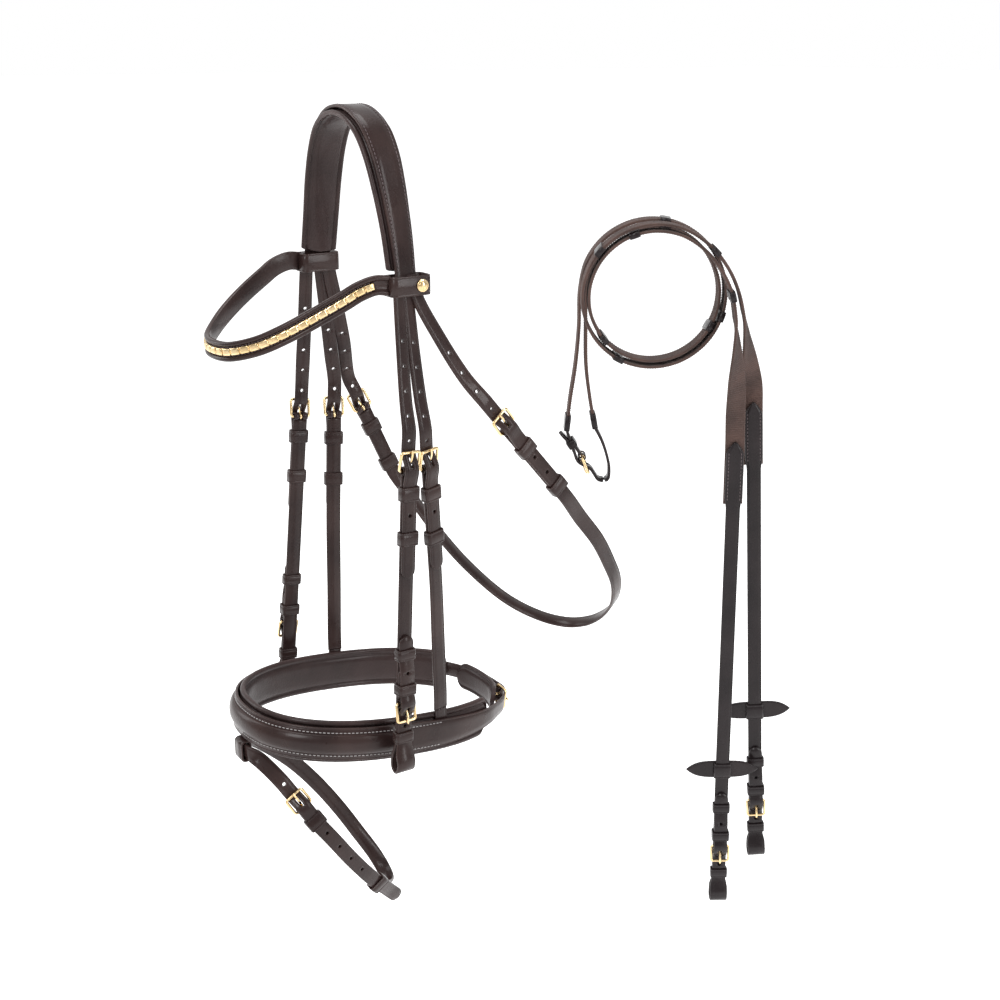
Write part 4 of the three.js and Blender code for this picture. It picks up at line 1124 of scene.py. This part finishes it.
def hanger(name, side):
    """A strap from its buckle down to the noseband, thinned where it is sewn inside the leather."""
    matrix = FRAMES[name]["hanger"]
    rows = [frame_row(matrix, y * MM, 0) for y in (-3.2, -40, -100)]
    ends = [row(side * x, y, z) for x, y, z in HANGER_ENDS[name]]
    facing = towards((side, 0.1, 0))
    form = Form()
    form.strap(Route(rows + ends[:3], facing))
    form.strap(Route(ends[2:], facing), STRAP_WIDTH - 1 * MM, 1.1 * MM)
    eye(form, matrix)
    for y in (-21, -58):
        keeper(form, matrix, y * MM)
    form.build(f"{name}_hanger_strap", "brown_leather", "cavesson", f"{name}_hanger")


for side_name, side in SIDES:
    hanger(side_name, side)

# Throatlatch
THROAT_LINE = [(95, 155, -325), (88, 180, -353), (78, 201, -381), (68, 217, -404), (55, 228, -426),
               (40, 235, -443), (22, 237, -459), (5, 234, -470), (-12, 224, -475), (-28, 205, -470),
               (-45, 177, -452), (-62, 144, -417), (-75, 116, -378), (-84, 99, -349)]


def throatlatch():
    near, far = FRAMES["near"]["throat"], FRAMES["far"]["throat"]
    straight = (-3.2, -20, -45, -70, -88)
    rows = [frame_row(near, y * MM, 0) for y in straight]
    rows += [row(*p) for p in THROAT_LINE]
    rows += [frame_row(far, y * MM, 0) for y in reversed(straight[:4])]
    centre = place(0, 100, -230)
    form = Form().strap(Route(rows, lambda point, along: point - centre))
    for matrix, places in ((near, (-25, -72)), (far, (-20, -58))):
        eye(form, matrix)
        for y in places:
            keeper(form, matrix, y * MM)
    form.build("throatlatch_strap", "brown_leather", "throatlatch", "throatlatch")


throatlatch()

# Flash
FLASH = frame_at(place(42, -86, -549), Vector((-11, -14, 24)), Vector((1, -0.15, 0.35)))
FLASH_LOOP = (0, -118.5, -503.4)
FLASH_UNDER = [(50.5, -66, -580), (49.5, -50, -604), (46.5, -34, -626), (40.5, -19, -645)]
FLASH_ROUND = [(33, -9, -657), (23, 1, -665), (11, 8, -668), (-1, 10, -664), (-12, 7, -653), (-22, -2, -635),
               (-31, -18, -606), (-37, -37, -577), (-39, -57, -552), (-37, -77, -532), (-30, -96, -515),
               (-17, -111, -505)]
FLASH_TIP = [(35, -10, -655, 2.7), (29.5, -2, -664.5, 3.1), (25.5, 4.5, -672, 3.9), (23, 8, -676.5, 4.3)]


def flash():
    rows = [frame_row(FLASH, y * MM, 0) for y in (-3.2, -16)]
    rows += [row(*p) for p in FLASH_UNDER + FLASH_ROUND]
    rows += [row(-8, -118, -503.4, face=-Y), row(8, -118, -503.4, face=-Y), row(17, -111.5, -509)]
    rows += [frame_row(FLASH, BUCKLE_REACH + 14 * MM, -0.5 * MM), *billet_end(FLASH)]
    rows += frame_rows(FLASH, [(-1 * MM, OVER_EYE), (-9 * MM, LAYER + 0.8 * MM), (-17 * MM, LAYER)])
    rows += [row(*p, lift=2.7) for p in FLASH_UNDER]
    rows += [row(*p) for p in FLASH_TIP]
    route = Route(rows, flat_across(Vector((0, -0.81, -0.58))))
    form = Form().strap(route, round_end=7 * MM)
    fittings = Form()
    eye(fittings, FLASH)
    keeper(fittings, FLASH, -15 * MM)
    end = frame_at(place(*FLASH_UNDER[3]), Vector((9, -22, 26)), Vector((1, 0.1, -0.3)))
    keeper(fittings, end, 0, LAYER + LEATHER / 2 + 0.4 * MM)
    over = route.nearest(FLASH.translation + FLASH.to_3x3() @ Z * OVER_EYE)
    stops = [over - 28 * MM] + [over + (30 + 19 * k) * MM for k in range(4)]
    form.build("flash_strap_leather", "brown_leather", "flash", "flash_strap",
               cutters=punches(route, stops, [FLASH]), fittings=fittings)
    buckle("flash", FLASH, "flash", "flash_tongue")

    form = Form()
    outline = rounded((-3 * MM, -7.8 * MM), (3 * MM, 7.8 * MM), 2 * MM)
    form.loop(outline, band_section(1.6 * MM, 14 * MM), Matrix.Translation(place(*FLASH_LOOP)), (Y, Z, X))
    form.build("flash_loop_leather", "brown_leather", "cavesson", "flash_loop")


flash()
